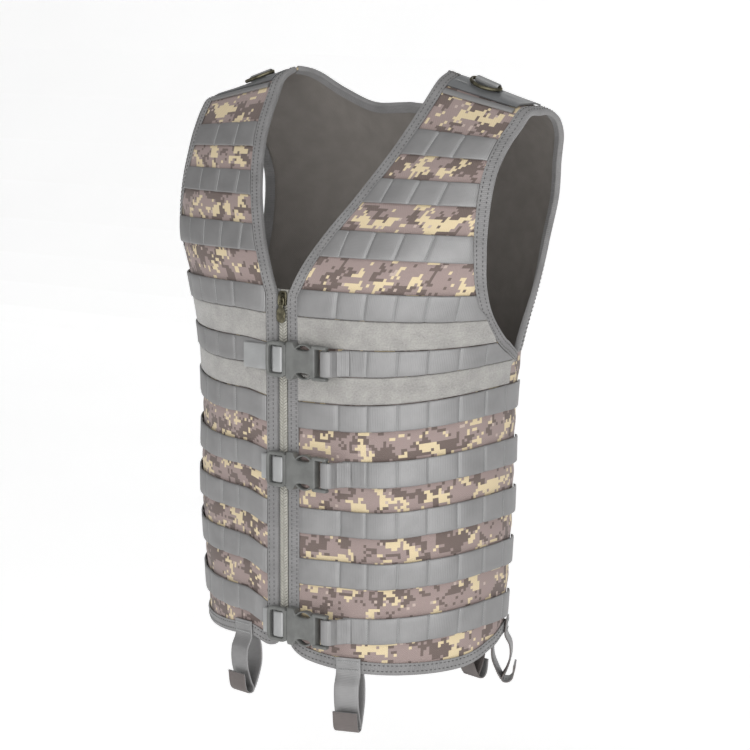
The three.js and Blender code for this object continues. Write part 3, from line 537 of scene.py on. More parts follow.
# edge stitches: thread painted near black as the shade in the dents that they press into the tape
SHADE_DARK_THREAD = woven("polyester_thread_painted_shade", "#464646", "#525252", (1.0, 1.0), 0.02, 0.5, sheen=0.1)
LOOP = loop_fabric()
print("greys:", WEBBING.name, TAPE_CLOTH.name, LOOP.name)

# %% [markdown]
# ### Moulded plastic and plated metal
# The buckles are moulded acetal: even grey, with a fine spark-eroded grain and soft gloss. The slider and
# the rings are plated to look like old brass: a dark olive metal, rubbed brighter in patches.

# %% Hard finishes


def moulded_plastic(name, dark, light, roughness):
    """Acetal from a grained mould: half-matt, with tiny pits that spread its highlight."""
    material, tree, shader = new_material(name, roughness)
    shader.inputs["IOR"].default_value = 1.48
    place = add_node(tree, "ShaderNodeTexCoord", {}, {}).outputs["Object"]
    tree.links.new(mottle(tree, place, 9, dark, light), shader.inputs["Base Color"])
    grain = add_node(tree, "ShaderNodeTexNoise", {}, {
        "Vector": place, "Scale": 1 / (0.9 * MM), "Detail": 2.0})
    emboss(tree, shader, grain.outputs["Fac"], 0.05)
    return material


def antique_brass():
    """Dark plating over metal: olive-brown, rubbed to dull gold in small patches that fall at random."""
    material, tree, shader = new_material("antique_brass_plating", 0.45, metallic=1.0)
    place = add_node(tree, "ShaderNodeTexCoord", {}, {}).outputs["Object"]
    tree.links.new(mottle(tree, place, 5, "#4E4B3F", "#7F7A66"), shader.inputs["Base Color"])
    grain = add_node(tree, "ShaderNodeTexNoise", {}, {
        "Vector": place, "Scale": 1 / (1.2 * MM), "Detail": 2.0})
    emboss(tree, shader, grain.outputs["Fac"], 0.04)
    return material


PLASTIC = moulded_plastic("moulded_acetal", "#5F605E", "#6A6B69", 0.42)
COIL = moulded_plastic("nylon_coil", "#A19F97", "#AEACA4", 0.5)
BRASS = antique_brass()
print("hard finishes:", PLASTIC.name, COIL.name, BRASS.name)

# %% [markdown]
# ## Padded panels
# Two fronts and a back, cut to the neck, armholes and hem. A panel could be simulated as cloth, but the
# webbing sewn across it holds it in shape, so it is a grid on the cloth surface with a soft swell between
# the rows.

# %% Panels
TUCK = 1.5
HEM_LEVEL = -530.0
HEM_FADE = 100.0
SWELL = 0.9
BACK_SEAM = 100.2
BACK_FOOT = float(hem(100.0))
PRINT_SHIFT = 0.1
BACK_PRINT = 1200.0


def swell(w):
    """How far the cloth stands out between two rows of webbing: a squared sine from row to row."""
    lower = ROW_TOPS[1:]
    upper = ROW_TOPS[:-1] - WEB_WIDTH
    part = np.clip((w[..., None] - lower) / (upper - lower), 0, 1)
    return SWELL * (np.sin(np.pi * part) ** 2).sum(-1)


def panel(phi, w, centred=False):
    """Sheet over a grid of phi and w. Its UV map is the length along the row and the height; a centred one is
    measured from the middle of the row, on another stretch of the print."""
    outer = cloth(phi, w, WALL - 0.2 + swell(w))
    run = lengths(outer.transpose(1, 0, 2)).T
    if centred:
        run = run + (BACK_PRINT - run[:, -1:] / 2)
    return shell(outer, cloth(phi, w, 0.0), stack(run, w) * MM)


def front_grid(side):
    """Rows from hem to shoulder; the lowest rows bend down to follow the hem."""
    level = np.linspace(HEM_LEVEL, RIDGE, 190)
    inner, outer = front_edges(level)
    start = walk(inner, level, TUCK)
    end = np.where(level <= ARMPIT, outer, walk(outer, level, -TUCK))
    phi = start[:, None] + (end - start)[:, None] * np.linspace(0, 1, 72)
    fade = np.clip(1 - (level - HEM_LEVEL) / HEM_FADE, 0, 1)[:, None]
    return side * phi, level[:, None] + (hem(phi) + TUCK - HEM_LEVEL) * fade


def back_grid():
    """Rows from hem to shoulders; columns crowd towards the middle, where an angle spans more cloth."""
    level = np.linspace(BACK_FOOT, RIDGE, 170)
    outer = curve(ARM_BACK["w"], ARM_BACK["phi"], level)
    outer = np.where(level <= ARMPIT, 180 - BACK_SEAM, 180 - walk(180 - outer, level, TUCK))
    part = signed(np.linspace(-1, 1, 141), 1.5)
    phi = 180 - part * outer[:, None]
    top = np.interp(np.abs(part), BACK_TOP["part"], BACK_TOP["w"]) - TUCK * (np.abs(part) < 0.17)
    rise = ((level - BACK_FOOT) / (RIDGE - BACK_FOOT))[:, None]
    foot = hem(phi) + TUCK
    return phi, foot + (top - foot) * rise


SIDES = (("left", 1), ("right", -1))
panels = {}
for name, side in SIDES:
    made = panel(*front_grid(side))
    if side < 0:
        made["uv"][:, 0] = -made["uv"][:, 0] - PRINT_SHIFT
    panels[name] = add_piece(f"panel_front_{name}", [made], [CAMOUFLAGE, REVERSE],
                             nodes=[f"front_panel_{name}"])
panels["back"] = add_piece("panel_back", [panel(*back_grid(), centred=True)], [CAMOUFLAGE, REVERSE],
                           nodes=["back_panel"])
for name, piece in panels.items():
    print(name, "panel:", len(piece.data.polygons), "quads")

# %% [markdown]
# ## Rows of webbing and bands of loop fabric
# Each row is sewn down every 28 mm and stands a little off the cloth between, so that straps can pass under
# it. The stretch between two seams is lifted by a rounded hump that falls sharply at the seams, which draws
# the fine upright shadows that the row has. The seams are zigzag bar tacks, made as joined stitches.

# %% Stitches
TACK_SWAY = 0.8
TACK_PITCH = 1.15


def stitches(starts, ends, up, width):
    """Threads from starts to ends as short spindles: three square profiles, thin at both ends."""
    along = ends - starts
    side = unit(np.cross(along, up)) * width / 2
    rise = unit(up) * width / 2
    corners = np.stack([side, rise, -side, -rise], 1)
    place = np.stack([starts, (starts + ends) / 2 + rise * 0.6, ends], 1)
    size = np.array([0.45, 1.0, 0.45])
    points = place[:, :, None] + corners[:, None] * size[:, None, None]
    one = loft(points[0])
    each = len(one["points"])
    count = len(starts)
    faces = one["faces"] + (np.arange(count) * each)[:, None, None]
    return {"points": points.reshape(-1, 3), "faces": faces.reshape(-1, 4), "uv": np.zeros((count * each, 2)),
            "inside": np.zeros(count * len(one["faces"]), np.int32)}


def read(at, s, points):
    """A path, or vectors along it, at running lengths between the lengths s of its stations."""
    return stack(*(np.interp(at, s, column) for column in points.T))


def running_stitch(path, up, pitch, share, width):
    """Stitches along a path: one per pitch, each as long as a share of it."""
    s = lengths(path)
    at = np.arange(pitch / 2, s[-1] - pitch / 2, pitch)
    half = pitch * share / 2
    return stitches(read(at - half, s, path), read(at + half, s, path), read(at, s, up), width)


def zigzag(path, up, across, pitch, width):
    """Bar tack: threads that cross from side to side as they go along a path."""
    s = lengths(path)
    at = np.arange(0, s[-1], pitch)
    sway = across * np.where(np.arange(len(at)) % 2, TACK_SWAY, -TACK_SWAY)[:, None]
    corners = read(at, s, path) + sway
    return stitches(corners[:-1], corners[1:], read(at[:-1], s, up), width)


print("stitch tools ready")

# %% Rows
TACK_FROM = 62.0
TACK_STEP = 28.3
TACK_ROOM = 7.0
TACK_INSET = 1.2
TACK_THREAD = 0.75
CELL_STEPS = 16
HUMP = 1.5
HUMP_POWER = 0.3
WRAP = 112.0
TAPE_CLEAR = 0.3
ARM_CLEAR = 1.6
ARM_CLEAR_TOP = -230.0
UNDER = WALL + GAP
# row, and how far from the zip the free tail of its strap ends
BUCKLED = {5: 46.0, 7: 23.0, 10: 22.0}
ROW_START = 66.0
LOOP_END = 78.0
BANDS = ((-207.7, -235.3), (-261.7, -287.3))


def strip(side, top, bottom, tacks, hump, start_x=None, flat_to=0.0):
    """A strap on the cloth between two heights. Its stations run from its start over each tack to its end,
    and between two tacks it lifts by hump·(4f(1 - f))^HUMP_POWER, with f the share of the way. It stays flat
    as far as flat_to from the zip."""
    w = (top + bottom) / 2 + (top - bottom) / 2 * EDGE
    inner, outer = taped_edges(w)
    clear = np.where((w >= UNDER_ARM) & (w <= ARM_CLEAR_TOP), ARM_CLEAR, TAPE_CLEAR)
    start = walk(inner, w, TAPE_CLEAR) if start_x is None else angle_of(start_x, w)
    end = np.full_like(w, WRAP) if top < UNDER_ARM else walk(outer, w, -clear)
    fine = np.linspace(0.5, 115, 460)
    run = body(side * fine, w[MIDDLE])
    run = lengths(run) + abs(run[0, 0])
    first, last = np.interp([start.max(), end.min()], fine, run)
    at = np.arange(TACK_FROM, 400, TACK_STEP) if tacks else np.array([(first + last) / 2])
    at = at[(at > first + TACK_ROOM) & (at < last - TACK_ROOM)]
    seams = np.interp(at, run, fine)
    nodes = np.concatenate([start[None], np.repeat(seams[:, None], len(EDGE), 1), end[None]])
    count = len(nodes) - 1
    place = np.linspace(0, count, count * CELL_STEPS + 1)
    cell = np.minimum(place.astype(int), count - 1)
    f = (place - cell)[:, None]
    phi = nodes[cell] * (1 - f) + nodes[cell + 1] * f
    u = np.interp(phi, fine, run)
    spans = np.diff(np.concatenate([[first], at, [last]]))
    lift = hump * np.clip(spans[cell] / TACK_STEP, 0, 1.3)[:, None] * (4 * f * (1 - f)) ** HUMP_POWER
    low = UNDER + lift * ramp(u, flat_to + 4, flat_to + 16)
    outer_face = cloth(side * phi, w, low + WEB * (0.3 + 0.7 * EDGE_THICK))
    inner_face = cloth(side * phi, w, low + 0.15)
    return shell(outer_face, inner_face, stack(u * side, w) * MM), seams, w


for name, side in SIDES:
    threads = []
    for row, top in enumerate(ROW_TOPS, 1):
        buckled = row in BUCKLED
        looped = buckled and side > 0
        flat_to = 0.0 if not buckled else LOOP_END if looped else BUCKLED[row]
        made, seams, w = strip(side, top, top - WEB_WIDTH, True, HUMP, ROW_START if looped else None, flat_to)
        add_piece(f"row_{name}_{row}", [made], [WEBBING],
                  nodes=[] if looped else [f"webbing_{name}_{row}"])
        tall = np.linspace(w[0] + TACK_INSET, w[-1] - TACK_INSET, 24)
        for phi in seams * side:
            path = cloth(phi, tall, UNDER + WEB + 0.1)
            across = unit(body(phi + 0.2, w[MIDDLE]) - body(phi - 0.2, w[MIDDLE]))
            threads.append(zigzag(path, normal(phi, tall), across, TACK_PITCH, TACK_THREAD))
    add_piece(f"bar_tacks_{name}", threads, [THREAD])
    for band, (top, bottom) in enumerate(BANDS, 1):
        made = strip(side, top, bottom, False, 0.0)[0]
        add_piece(f"band_{name}_{band}", [made], [LOOP], nodes=[f"loop_band_{name}_{band}"])
    print(name, "front:", len(ROW_TOPS), "rows,", len(threads), "bar tacks")

# %% [markdown]
# ## Bound edges
# Neck, armholes and hem are bound with folded tape. Each tape runs between two lines on the cloth, the edge
# itself and a line 11 mm inside it. Its profile goes from the inner line to the edge, round it in half an
# oval, and back a little way on the inside. Two rows of stitches follow the same lines.

# %% Tapes
TURN_MIDDLE = 1.7
LEG = np.array([1, 0.97, 0.75, 0.5, 0.25, 0.06])
TURN = np.radians([70, 40, 0, -40, -70])
RETURN = np.array([0.06, 0.3, 0.55, 0.8])
STITCH_ROWS = (0.27, 0.78)
STITCH_PITCH = 4.2
STITCH_SHARE = 0.55
STITCH_THREAD = 1.0
OUTSIDE = {"high": 2.75, "wide": 1.35}
INSIDE = {"high": 1.95, "wide": 0.6}
TAPE_ROUND = 26.0
CORNER_W = -525.0


def edge_tape(edge, inner):
    """Folded tape between an edge line and an inner line of (phi, w) stations, with its rows of stitches."""
    between = lambda t: edge[:, None] * (1 - t)[:, None] + inner[:, None] * t[:, None]
    base = cloth(*edge.T, TURN_MIDDLE)
    up = normal(*edge.T)
    out = unit(base - cloth(*inner.T, TURN_MIDDLE))

    def skin(high, wide):
        leg = between(LEG)
        back = between(RETURN)
        turn = out[:, None] * (wide * np.cos(TURN))[:, None] + up[:, None] * (high * np.sin(TURN))[:, None]
        return np.concatenate([cloth(leg[..., 0], leg[..., 1], TURN_MIDDLE + high), base[:, None] + turn,
                               cloth(back[..., 0], back[..., 1], TURN_MIDDLE - high)], 1)

    outer = skin(**OUTSIDE)
    uv = stack(lengths(base)[:, None], np.linspace(0, TAPE_ROUND, outer.shape[1])) * MM
    tape = shell(outer, skin(**INSIDE), uv)
    rows = []
    for t in STITCH_ROWS:
        line = edge * (1 - t) + inner * t
        path = cloth(*line.T, TURN_MIDDLE + OUTSIDE["high"] + 0.05)
        rows.append(running_stitch(path, normal(*line.T), STITCH_PITCH, STITCH_SHARE, STITCH_THREAD))
    return tape, rows


def front_edge():
    """Down the neck and the zip, round the corner and along the hem to the side seam."""
    w_corner = hem(walk(angle_of(ZIP_HALF, CORNER_W), CORNER_W, BINDING + 0.5)) + BINDING
    down = np.linspace(RIDGE, w_corner, 190)
    zip_phi = front_edges(down)[0]
    tape_phi = taped_edges(down)[0]
    foot = hem(zip_phi[-1])
    turn_w = np.linspace(w_corner, foot + 2, 5)[1:]
    turn_phi = np.linspace(zip_phi[-1], tape_phi[-1], 9)[2:]
    along = np.linspace(tape_phi[-1], SIDE_SEAM, 110)[1:]
    corner = len(turn_w) + len(turn_phi)
    edge = np.concatenate([stack(zip_phi, down), stack(zip_phi[-1], turn_w), stack(turn_phi, hem(turn_phi)),
                           stack(along, hem(along))])
    inner = np.concatenate([stack(tape_phi, down), np.repeat([[tape_phi[-1], w_corner]], corner, 0),
                            stack(along, hem(along) + BINDING)])
    return edge, inner


def armhole_edge():
    """From under the arm up the front, over the shoulder and down the back to the side seam."""
    under = np.linspace(UNDER_ARM, ARMPIT, 7)[:-1]
    up = ARMPIT + (RIDGE - ARMPIT) * np.linspace(0, 1, 130) ** 1.5
    outer = front_edges(up)[1]
    edge = [stack(outer[0], np.full_like(under, ARMPIT)), stack(outer, up)]
    inner = [stack(curve(ARM_INNER["w"], ARM_INNER["phi"], under), under), stack(taped_edges(up)[1], up)]
    down = RIDGE - (RIDGE - ARMPIT) * np.linspace(0, 1, 110)
    rise = (down - BACK_FOOT) / (RIDGE - BACK_FOOT)
    from_back = curve(ARM_BACK["w"], ARM_BACK["phi"], down)
    for line, phi in ((edge, 180 - from_back), (inner, walk(180 - from_back, down, BINDING))):
        line.append(stack(phi, hem(phi) + (RIDGE - hem(phi)) * rise))
    return np.concatenate(edge), np.concatenate(inner)


def inset(line, width):
    """Moves a line on the cloth square to itself, solving the two surface directions for the step wanted."""
    phi, w = line.T
    side = unit(np.cross(np.gradient(body(phi, w), axis=0), normal(phi, w))) * width
    p = (body(phi + 0.2, w) - body(phi - 0.2, w)) / 0.4
    q = (body(phi, w) - body(phi, w - 0.5)) / 0.5
    pp, qq, pq = (p * p).sum(-1), (q * q).sum(-1), (p * q).sum(-1)
    a, b = (p * side).sum(-1), (q * side).sum(-1)
    det = pp * qq - pq**2
    return stack(phi + (a * qq - b * pq) / det, np.minimum(RIDGE, w + (b * pp - a * pq) / det))


def neck_edge():
    """Round the back of the neck from the wearer's left shoulder to the right one."""
    part = NECK_PART * signed(np.linspace(-1, 1, 81), 1.3)
    outer = curve(ARM_BACK["w"], ARM_BACK["phi"], RIDGE)
    edge = stack(180 + part * outer, curve(BACK_TOP["part"], BACK_TOP["w"], np.abs(part)))
    edge[:, 1] = np.minimum(edge[:, 1], RIDGE)
    step = inset(edge, BINDING)
    return edge, step if step[40, 1] < edge[40, 1] else inset(edge, -BINDING)


mirrored = np.array([-1.0, 1.0])
back_phi = np.linspace(BACK_SEAM, 360 - BACK_SEAM, 150)
back_hem = stack(back_phi, hem(back_phi))
EDGES = {
    "edge_front_left": ("front_binding_left", front_edge()),
    "edge_front_right": ("front_binding_right", tuple(line * mirrored for line in front_edge())),
    "edge_armhole_left": ("armhole_binding_left", armhole_edge()),
    "edge_armhole_right": ("armhole_binding_right", tuple(line * mirrored for line in armhole_edge())),
    "edge_neck_back": ("back_neck_binding", neck_edge()),
    "edge_hem_back": ("back_hem_binding", (back_hem, back_hem + [0, BINDING])),
}
seams = []
for name, (node, (edge, inner)) in EDGES.items():
    tape, rows = edge_tape(edge, inner)
    add_piece(name, [tape], [TAPE_CLOTH], nodes=[node])
    seams += rows
# the edge stitches' thread is painted near black as dent shade
add_piece("edge_stitches", seams, [SHADE_DARK_THREAD])
print("bound edges:", len(EDGES))

# %% [markdown]
# ## Zip
# A coil zip: two woven tapes, and nylon teeth that meet in a chevron. Real teeth are under two millimetres
# apart, too fine for this picture, so they are drawn at three. Slider and pull are small lofts of rounded
# profiles.

# %% Rounded lofts


def round_profile(count, power):
    """Superellipse of unit size: cos and sin raised to 2 / power, from one side over the top and back."""
    a = (np.arange(count) + 0.5) * 2 * np.pi / count
    return stack(signed(np.cos(a), 2 / power), signed(np.sin(a), 2 / power))


def bar(path, side, up, half_side, half_up, power=4, count=20, ring=False):
    """A bar of superellipse profile along a path, with its half sizes given at each station."""
    profile = round_profile(count, power)
    path = np.asarray(path, float)
    half_side = np.broadcast_to(half_side, len(path)).astype(float)
    half_up = np.broadcast_to(half_up, len(path)).astype(float)
    side = np.broadcast_to(side, path.shape)
    up = np.broadcast_to(up, path.shape)
    sections = (path[:, None] + side[:, None] * (half_side[:, None] * profile[:, 0])[..., None]
                + up[:, None] * (half_up[:, None] * profile[:, 1])[..., None])
    return loft(sections, ring=ring)


def rounded_ends(stations, radius):
    """Stations crowded at both ends of a bar, and how far its profile is drawn in there for a round edge:
    the radius less the root of radius² - (radius - depth)²."""
    steps = np.array([0, 0.15, 0.5]) * radius
    middle = stations[(stations > stations[0] + radius) & (stations < stations[-1] - radius)]
    at = np.concatenate([stations[0] + steps, middle, stations[-1] - steps[::-1]])
    depth = np.minimum(at - stations[0], stations[-1] - at)
    pull = radius - np.sqrt(np.maximum(0, radius**2 - np.maximum(0, radius - depth) ** 2))
    return at, pull


X, Y, Z = np.eye(3)
ZIP_TOP = -186.0
ZIP_FOOT = -512.0
ZIP_FACE = float(body(0.0, -300.0)[1])
TAPE_Y = ZIP_FACE + 1.5
COIL_BACK = ZIP_FACE + 1.1 - GAP
TOOTH_PITCH = 3.0
TAPE_AT = 8.15
TAPE_WIDTH = 15.7
TAPE_THICK = 0.8
BULGE = 2.2
BULGE_SPAN = (-200.0, -210.0)


def bulge(z):
    """How far the closed zip stands forward: nothing at the slider, BULGE from a centimetre below it."""
    return BULGE * ramp(z, *BULGE_SPAN)


print("zip face at y =", round(ZIP_FACE, 1), "mm")

# %% Zip pieces
z = np.linspace(ZIP_FOOT - 2, ZIP_TOP + 2, 60)
for name, side in SIDES:
    path = stack(side * TAPE_AT, TAPE_Y - bulge(z), z)
    add_piece(f"tape_{name}", [ribbon(path, X, TAPE_WIDTH, TAPE_THICK)], [ZIP_CLOTH],
              nodes=[f"zip_tape_{name}"])
teeth_z = np.arange(ZIP_FOOT + 2, ZIP_TOP - 8, TOOTH_PITCH)
tooth = np.linspace(0, 1, 5)
grow = np.sqrt(np.clip(1 - (2 * tooth - 1) ** 4, 0.15, 1))
teeth = []
for side in (1, -1):
    path = stack(side * (0.2 + 4.5 * tooth), COIL_BACK - 1.5 + 0.5 * tooth**2, 2.6 * tooth)
    one = bar(path, Z, Y, 1.1 * grow, 0.9 * grow, power=2.5, count=8)
    for height in teeth_z + (TOOTH_PITCH / 2 if side < 0 else 0):
        teeth.append({**one, "points": one["points"] + Z * height - Y * bulge(height)})
core = bar(stack(0, COIL_BACK - 0.6 - bulge(z), z), X, Y, 4.4, 0.4, count=12)
add_piece("coil", teeth + [core], [COIL], nodes=["zip_coil"])
print("teeth:", len(teeth))

# %% Slider and pull
SLIDER_Z = -192.0
SLIDER_FRONT = COIL_BACK - 2.4 - GAP
PLATE_FRONT = SLIDER_FRONT - 1.8
PIN = np.array([0.0, PLATE_FRONT - 1.9, SLIDER_Z + 1])
BAIL_X = 3.1
BAIL_Z = 3.7
at, pull_in = rounded_ends(np.linspace(-7, 7, 25), 0.9)
wide = curve(np.array([-7.0, -4, 0, 3, 5.5, 7]), np.array([3.6, 4.4, 4.7, 4.8, 4.4, 3.2]), at)
plate = bar(stack(0, (PLATE_FRONT + SLIDER_FRONT) / 2, SLIDER_Z + at), X, Y, wide - pull_in,
            0.9 - pull_in * 0.8, power=5, count=28)
arch = spline([(0, PLATE_FRONT + 0.4, 5.2), (0, PLATE_FRONT - 2.4, 5.0), (0, PLATE_FRONT - 3.9, 3.4),
               (0, PLATE_FRONT - 3.95, -1.0), (0, PLATE_FRONT - 2.8, -2.9), (0, PLATE_FRONT + 0.4, -3.2)], 28)
bridge = ribbon(arch + Z * SLIDER_Z, X, 3.0, 1.2)
add_piece("slider", [plate, bridge], [BRASS], nodes=["zip_slider"])

a = np.linspace(0, 2 * np.pi, 48, endpoint=False)
bail_path = stack(BAIL_X * signed(np.cos(a), 0.55), 0, -BAIL_Z + BAIL_Z * signed(np.sin(a), 0.55))
bail_out = unit(stack(np.cos(a) / BAIL_X, 0, np.sin(a) / BAIL_Z))
bail = bar(bail_path + PIN, bail_out, Y, 0.72, 0.72, power=3, count=12, ring=True)
at, pull_in = rounded_ends(np.linspace(-24.2, -7.2, 40), 0.8)
wide = curve(np.array([-24.2, -23.2, -21, -18, -13.5, -11.6, -9.6, -7.2]),
             np.array([1.6, 3.4, 4.9, 5.2, 5.2, 4.2, 2.7, 2.8]), at)
tab = bar(PIN + Z * at[:, None], X, Y, wide - pull_in, 0.75 - pull_in * 0.7, power=5, count=28)
dish = np.linspace(0, 2 * np.pi, 32, endpoint=False)
rim_path = PIN + stack(3.4 * np.cos(dish), -0.7, -17.3 + 3.6 * np.sin(dish))
rim = bar(rim_path, stack(np.cos(dish), 0, np.sin(dish)), Y, 0.45, 0.3, power=2, count=8, ring=True)
add_piece("pull_tab", [bail, tab, rim], [BRASS], body="pull", nodes=["zip_pull"])
print("pull hangs from", PIN.round(1))

# %% [markdown]
# ## Side-release buckles
# A buckle has a hollow body on the wearer's left and a slotted frame on the right. The body is a
# superellipse carried along the buckle's length, and its height dips into a notch where the two sprung
# latches show. Bars and rails are smaller lofts of the same kind, and the webbing is a ribbon threaded
# round them.

# %% Buckles
BACK_Y = -138.7
FRONT_Y = -148.0
FRAME_BACK = -141.5
FRAME_FRONT = -147.2
BAR_FROM, BAR_TO = 54.5, 60.0
BAR_BACK, BAR_FRONT = -141.8, -146.0
BAR_SET_BACK = 1.9
BODY_BAR = np.linspace(-14.7, 14.7, 25)
FRAME_BAR = np.linspace(-14.35, 14.35, 25)
RAIL_AT = 14.8
LATCH_Y = -143.6
STRAP = 1.4
STRAP_WIDTH = 24.0
LAYER_GAP = 0.45


def buckle_body(z):
    """Half with the two notches: its half height falls from 18 to 10.9 mm at the latches and rises again."""
    at, pull_in = rounded_ends(np.linspace(12.6, 47.6, 70), 1.6)
    tall = curve(np.array([12.6, 19, 20.8, 22.5, 25, 28, 37.5, 41, 43, 45, 47.6]),
                 np.array([18.0, 18, 17.2, 14.2, 11.8, 10.9, 10.9, 12.2, 14.8, 16.3, 16.5]), at)
    path = stack(at, (BACK_Y + FRONT_Y) / 2, z)
    case = bar(path, Z, Y, tall - pull_in, (BACK_Y - FRONT_Y) / 2 - pull_in * 0.8, power=7, count=52)
    parts = [case]
    for side in (1, -1):
        rail_x, rail_in = rounded_ends(np.linspace(44, BAR_TO + 0.6, 24), 1.2)
        rail = stack(rail_x, (BAR_BACK + FRONT_Y) / 2, z + side * RAIL_AT)
        parts.append(bar(rail, Z, Y, 1.75 - rail_in, (BAR_BACK - FRONT_Y) / 2 - rail_in * 0.8, power=4))
        t = np.linspace(0, 1, 24)
        bow = 11.0 + 5.2 * np.sin(np.pi * t) ** 0.7
        latch = stack(23.6 + 19.6 * t, LATCH_Y, z + side * bow)
        parts.append(bar(latch, unit(np.cross(np.gradient(latch, axis=0), Y)), Y, 0.95, 3.6, power=3))
    long = stack((BAR_FROM + BAR_TO) / 2, (BAR_BACK + BAR_FRONT) / 2, z + BODY_BAR)
    parts.append(bar(long, X, Y, 2.7, 2.05, power=4))
    return parts


def buckle_frame(z):
    """Half with two slots: a rounded oblong ring, a middle bar set back for the webbing, and an end bar."""
    a = np.linspace(0, 2 * np.pi, 72, endpoint=False)
    path = stack(-0.25 + 10.4 * signed(np.cos(a), 0.35), (FRAME_BACK + FRAME_FRONT) / 2,
                 z + 15.1 * signed(np.sin(a), 0.35))
    out = unit(np.cross(np.roll(path, -1, 0) - np.roll(path, 1, 0), Y))
    rim = bar(path, out, Y, 1.9, 2.8, power=4, ring=True)
    parts = [rim]
    for x, half, front in ((1.6, 3.3, FRAME_FRONT + BAR_SET_BACK), (10.7, 1.6, FRAME_FRONT)):
        long = stack(x, (FRAME_BACK + front) / 2, z + FRAME_BAR)
        parts.append(bar(long, X, Y, half, (FRAME_BACK - front) / 2, power=4))
    return parts


def cloth_y(x, z, off):
    """Depth of the front at a side distance x and height z, off its inner face."""
    return float(cloth(np.sign(x) * angle_of(abs(x), z), z, off)[1])


def threaded(points, z, steps):
    """Webbing along a route of x and y points at one height."""
    return ribbon(stack(*spline(points, steps).T, z), Z, STRAP_WIDTH, STRAP)


def body_strap(z):
    """The row's end: under the bar, round it and back over it to the row."""
    under = BAR_BACK + GAP + STRAP / 2
    over = BAR_FRONT - GAP - STRAP / 2
    inside = BAR_FROM - GAP - STRAP / 2
    on_cloth = lambda x, off: (x, cloth_y(x, z, UNDER + off))
    route = [on_cloth(82, 0.8), on_cloth(74, 1.0), (65, under + 2.2), (60, under), (55.5, under),
             (inside + 0.3, BAR_BACK - 0.2), (inside, (BAR_BACK + BAR_FRONT) / 2),
             (inside + 0.3, BAR_FRONT + 0.2), (55.5, over), (60, over), (64, over + 2.2),
             on_cloth(68, 3.4), on_cloth(71.5, 2.9), on_cloth(75, 2.4)]
    return threaded(route, z, 110)


def frame_strap(z, tail):
    """Webbing of the other front: under the frame, over its middle bar and back under it to a free tail."""
    web = UNDER + WEB + LAYER_GAP + STRAP / 2
    over = FRAME_FRONT + BAR_SET_BACK - GAP - STRAP / 2
    route = [(-tail, cloth_y(-tail, z, web)), (-20, cloth_y(-20, z, web)), (4.6, -138.5), (6.9, -139.6),
             (7.1, -142.5), (7.0, over + 0.9), (5.7, over), (-2.5, over), (-3.8, over + 0.9), (-4.0, -142.2),
             (-5.9, -140.5), (-14, -140.1), (-tail, cloth_y(-tail, z, web + STRAP + LAYER_GAP))]
    return threaded(route, z, 120)


for count, (row, tail) in enumerate(BUCKLED.items(), 1):
    z_row = float(ROW_TOPS[row - 1] - WEB_WIDTH / 2)
    label = f"buckle_{count}"
    add_piece(f"{label}_body", buckle_body(z_row), [PLASTIC], nodes=[f"{label}_female"])
    add_piece(f"{label}_frame", buckle_frame(z_row), [PLASTIC], nodes=[f"{label}_male"])
    add_piece(f"{label}_tail", [frame_strap(z_row, tail)], [PALE_WEBBING],
              nodes=[f"{label}_strap"])
    add_piece(f"{label}_loop", [body_strap(z_row)], [WEBBING], nodes=[f"webbing_left_{row}"])
    print(label, "at height", z_row)

# %% [markdown]
# ## Shoulders
# A strap of webbing lies over each shoulder ridge with a keeper that holds the bar of a metal ring. The
# ring is a wire bow closed by a straight bar, and it turns about that bar, so it rides on a body of its
# own. A round welt in front of the ridge and a bar tack finish the strap.

# %% Shoulder pieces
STRAP_FROM = 106.0
STRAP_TO = 182.0
STRAP_RISE = 0.6
STRAP_EDGE = 20.0
CURL_SPAN = (160.0, 185.0)
KEEPER_RADIUS = 3.6
KEEPER_WIDTH = 27.0
WELT_W = 14.5
TACK_X = (109.0, 122.0)
TACK_W = 29.0
RING_AT = 136.0
RING_WIRE = 1.8
RING_HALF = 16.5
RING_RISE = 1.0
RING_REACH = 28.0
RING_FOOT = 2.2


def shoulder_angle(x, w, back):
    """Angle at which the shoulder stands at a side distance x, on its front or back slope."""
    n = ring("back_n" if back else "front_n", w)
    phi = np.degrees(np.arcsin((x / ring("half", w)) ** (n / 2)))
    return 180 - phi if back else phi


def shoulder(x, w, off, back=False):
    """Point over the shoulder at a side distance and a height along the cloth."""
    return cloth(shoulder_angle(x, w, back), w, np.asarray(WALL + STRAP_RISE + off, float))


def shoulder_sheet(x, low_front, low_back, off, lift):
    """Strap over the ridge from a front height to a back height, curled up by lift at its outer end."""
    front_w = np.linspace(low_front, RIDGE, 12)
    back_w = np.linspace(RIDGE, low_back, 12)
    rise = off + lift * ramp(x, *CURL_SPAN)[:, None]
    front = shoulder(x[:, None], front_w, rise)
    back = shoulder(x[:, None], back_w, rise, True)
    front[:, -1] = back[:, 0] = (front[:, -1] + back[:, 0]) / 2
    return np.concatenate([front, back[:, 1:]], 1)


def layer(x, low_front, low_back, off, thick, lift=0.0):
    """A shoulder strap of a thickness, with a UV map along x and across the ridge."""
    inner = shoulder_sheet(x, low_front, low_back, off, lift)
    outer = shoulder_sheet(x, low_front, low_back, off + thick, lift)
    across = lengths(outer.transpose(1, 0, 2)).T
    return shell(outer, inner, stack(x[:, None], across) * MM)


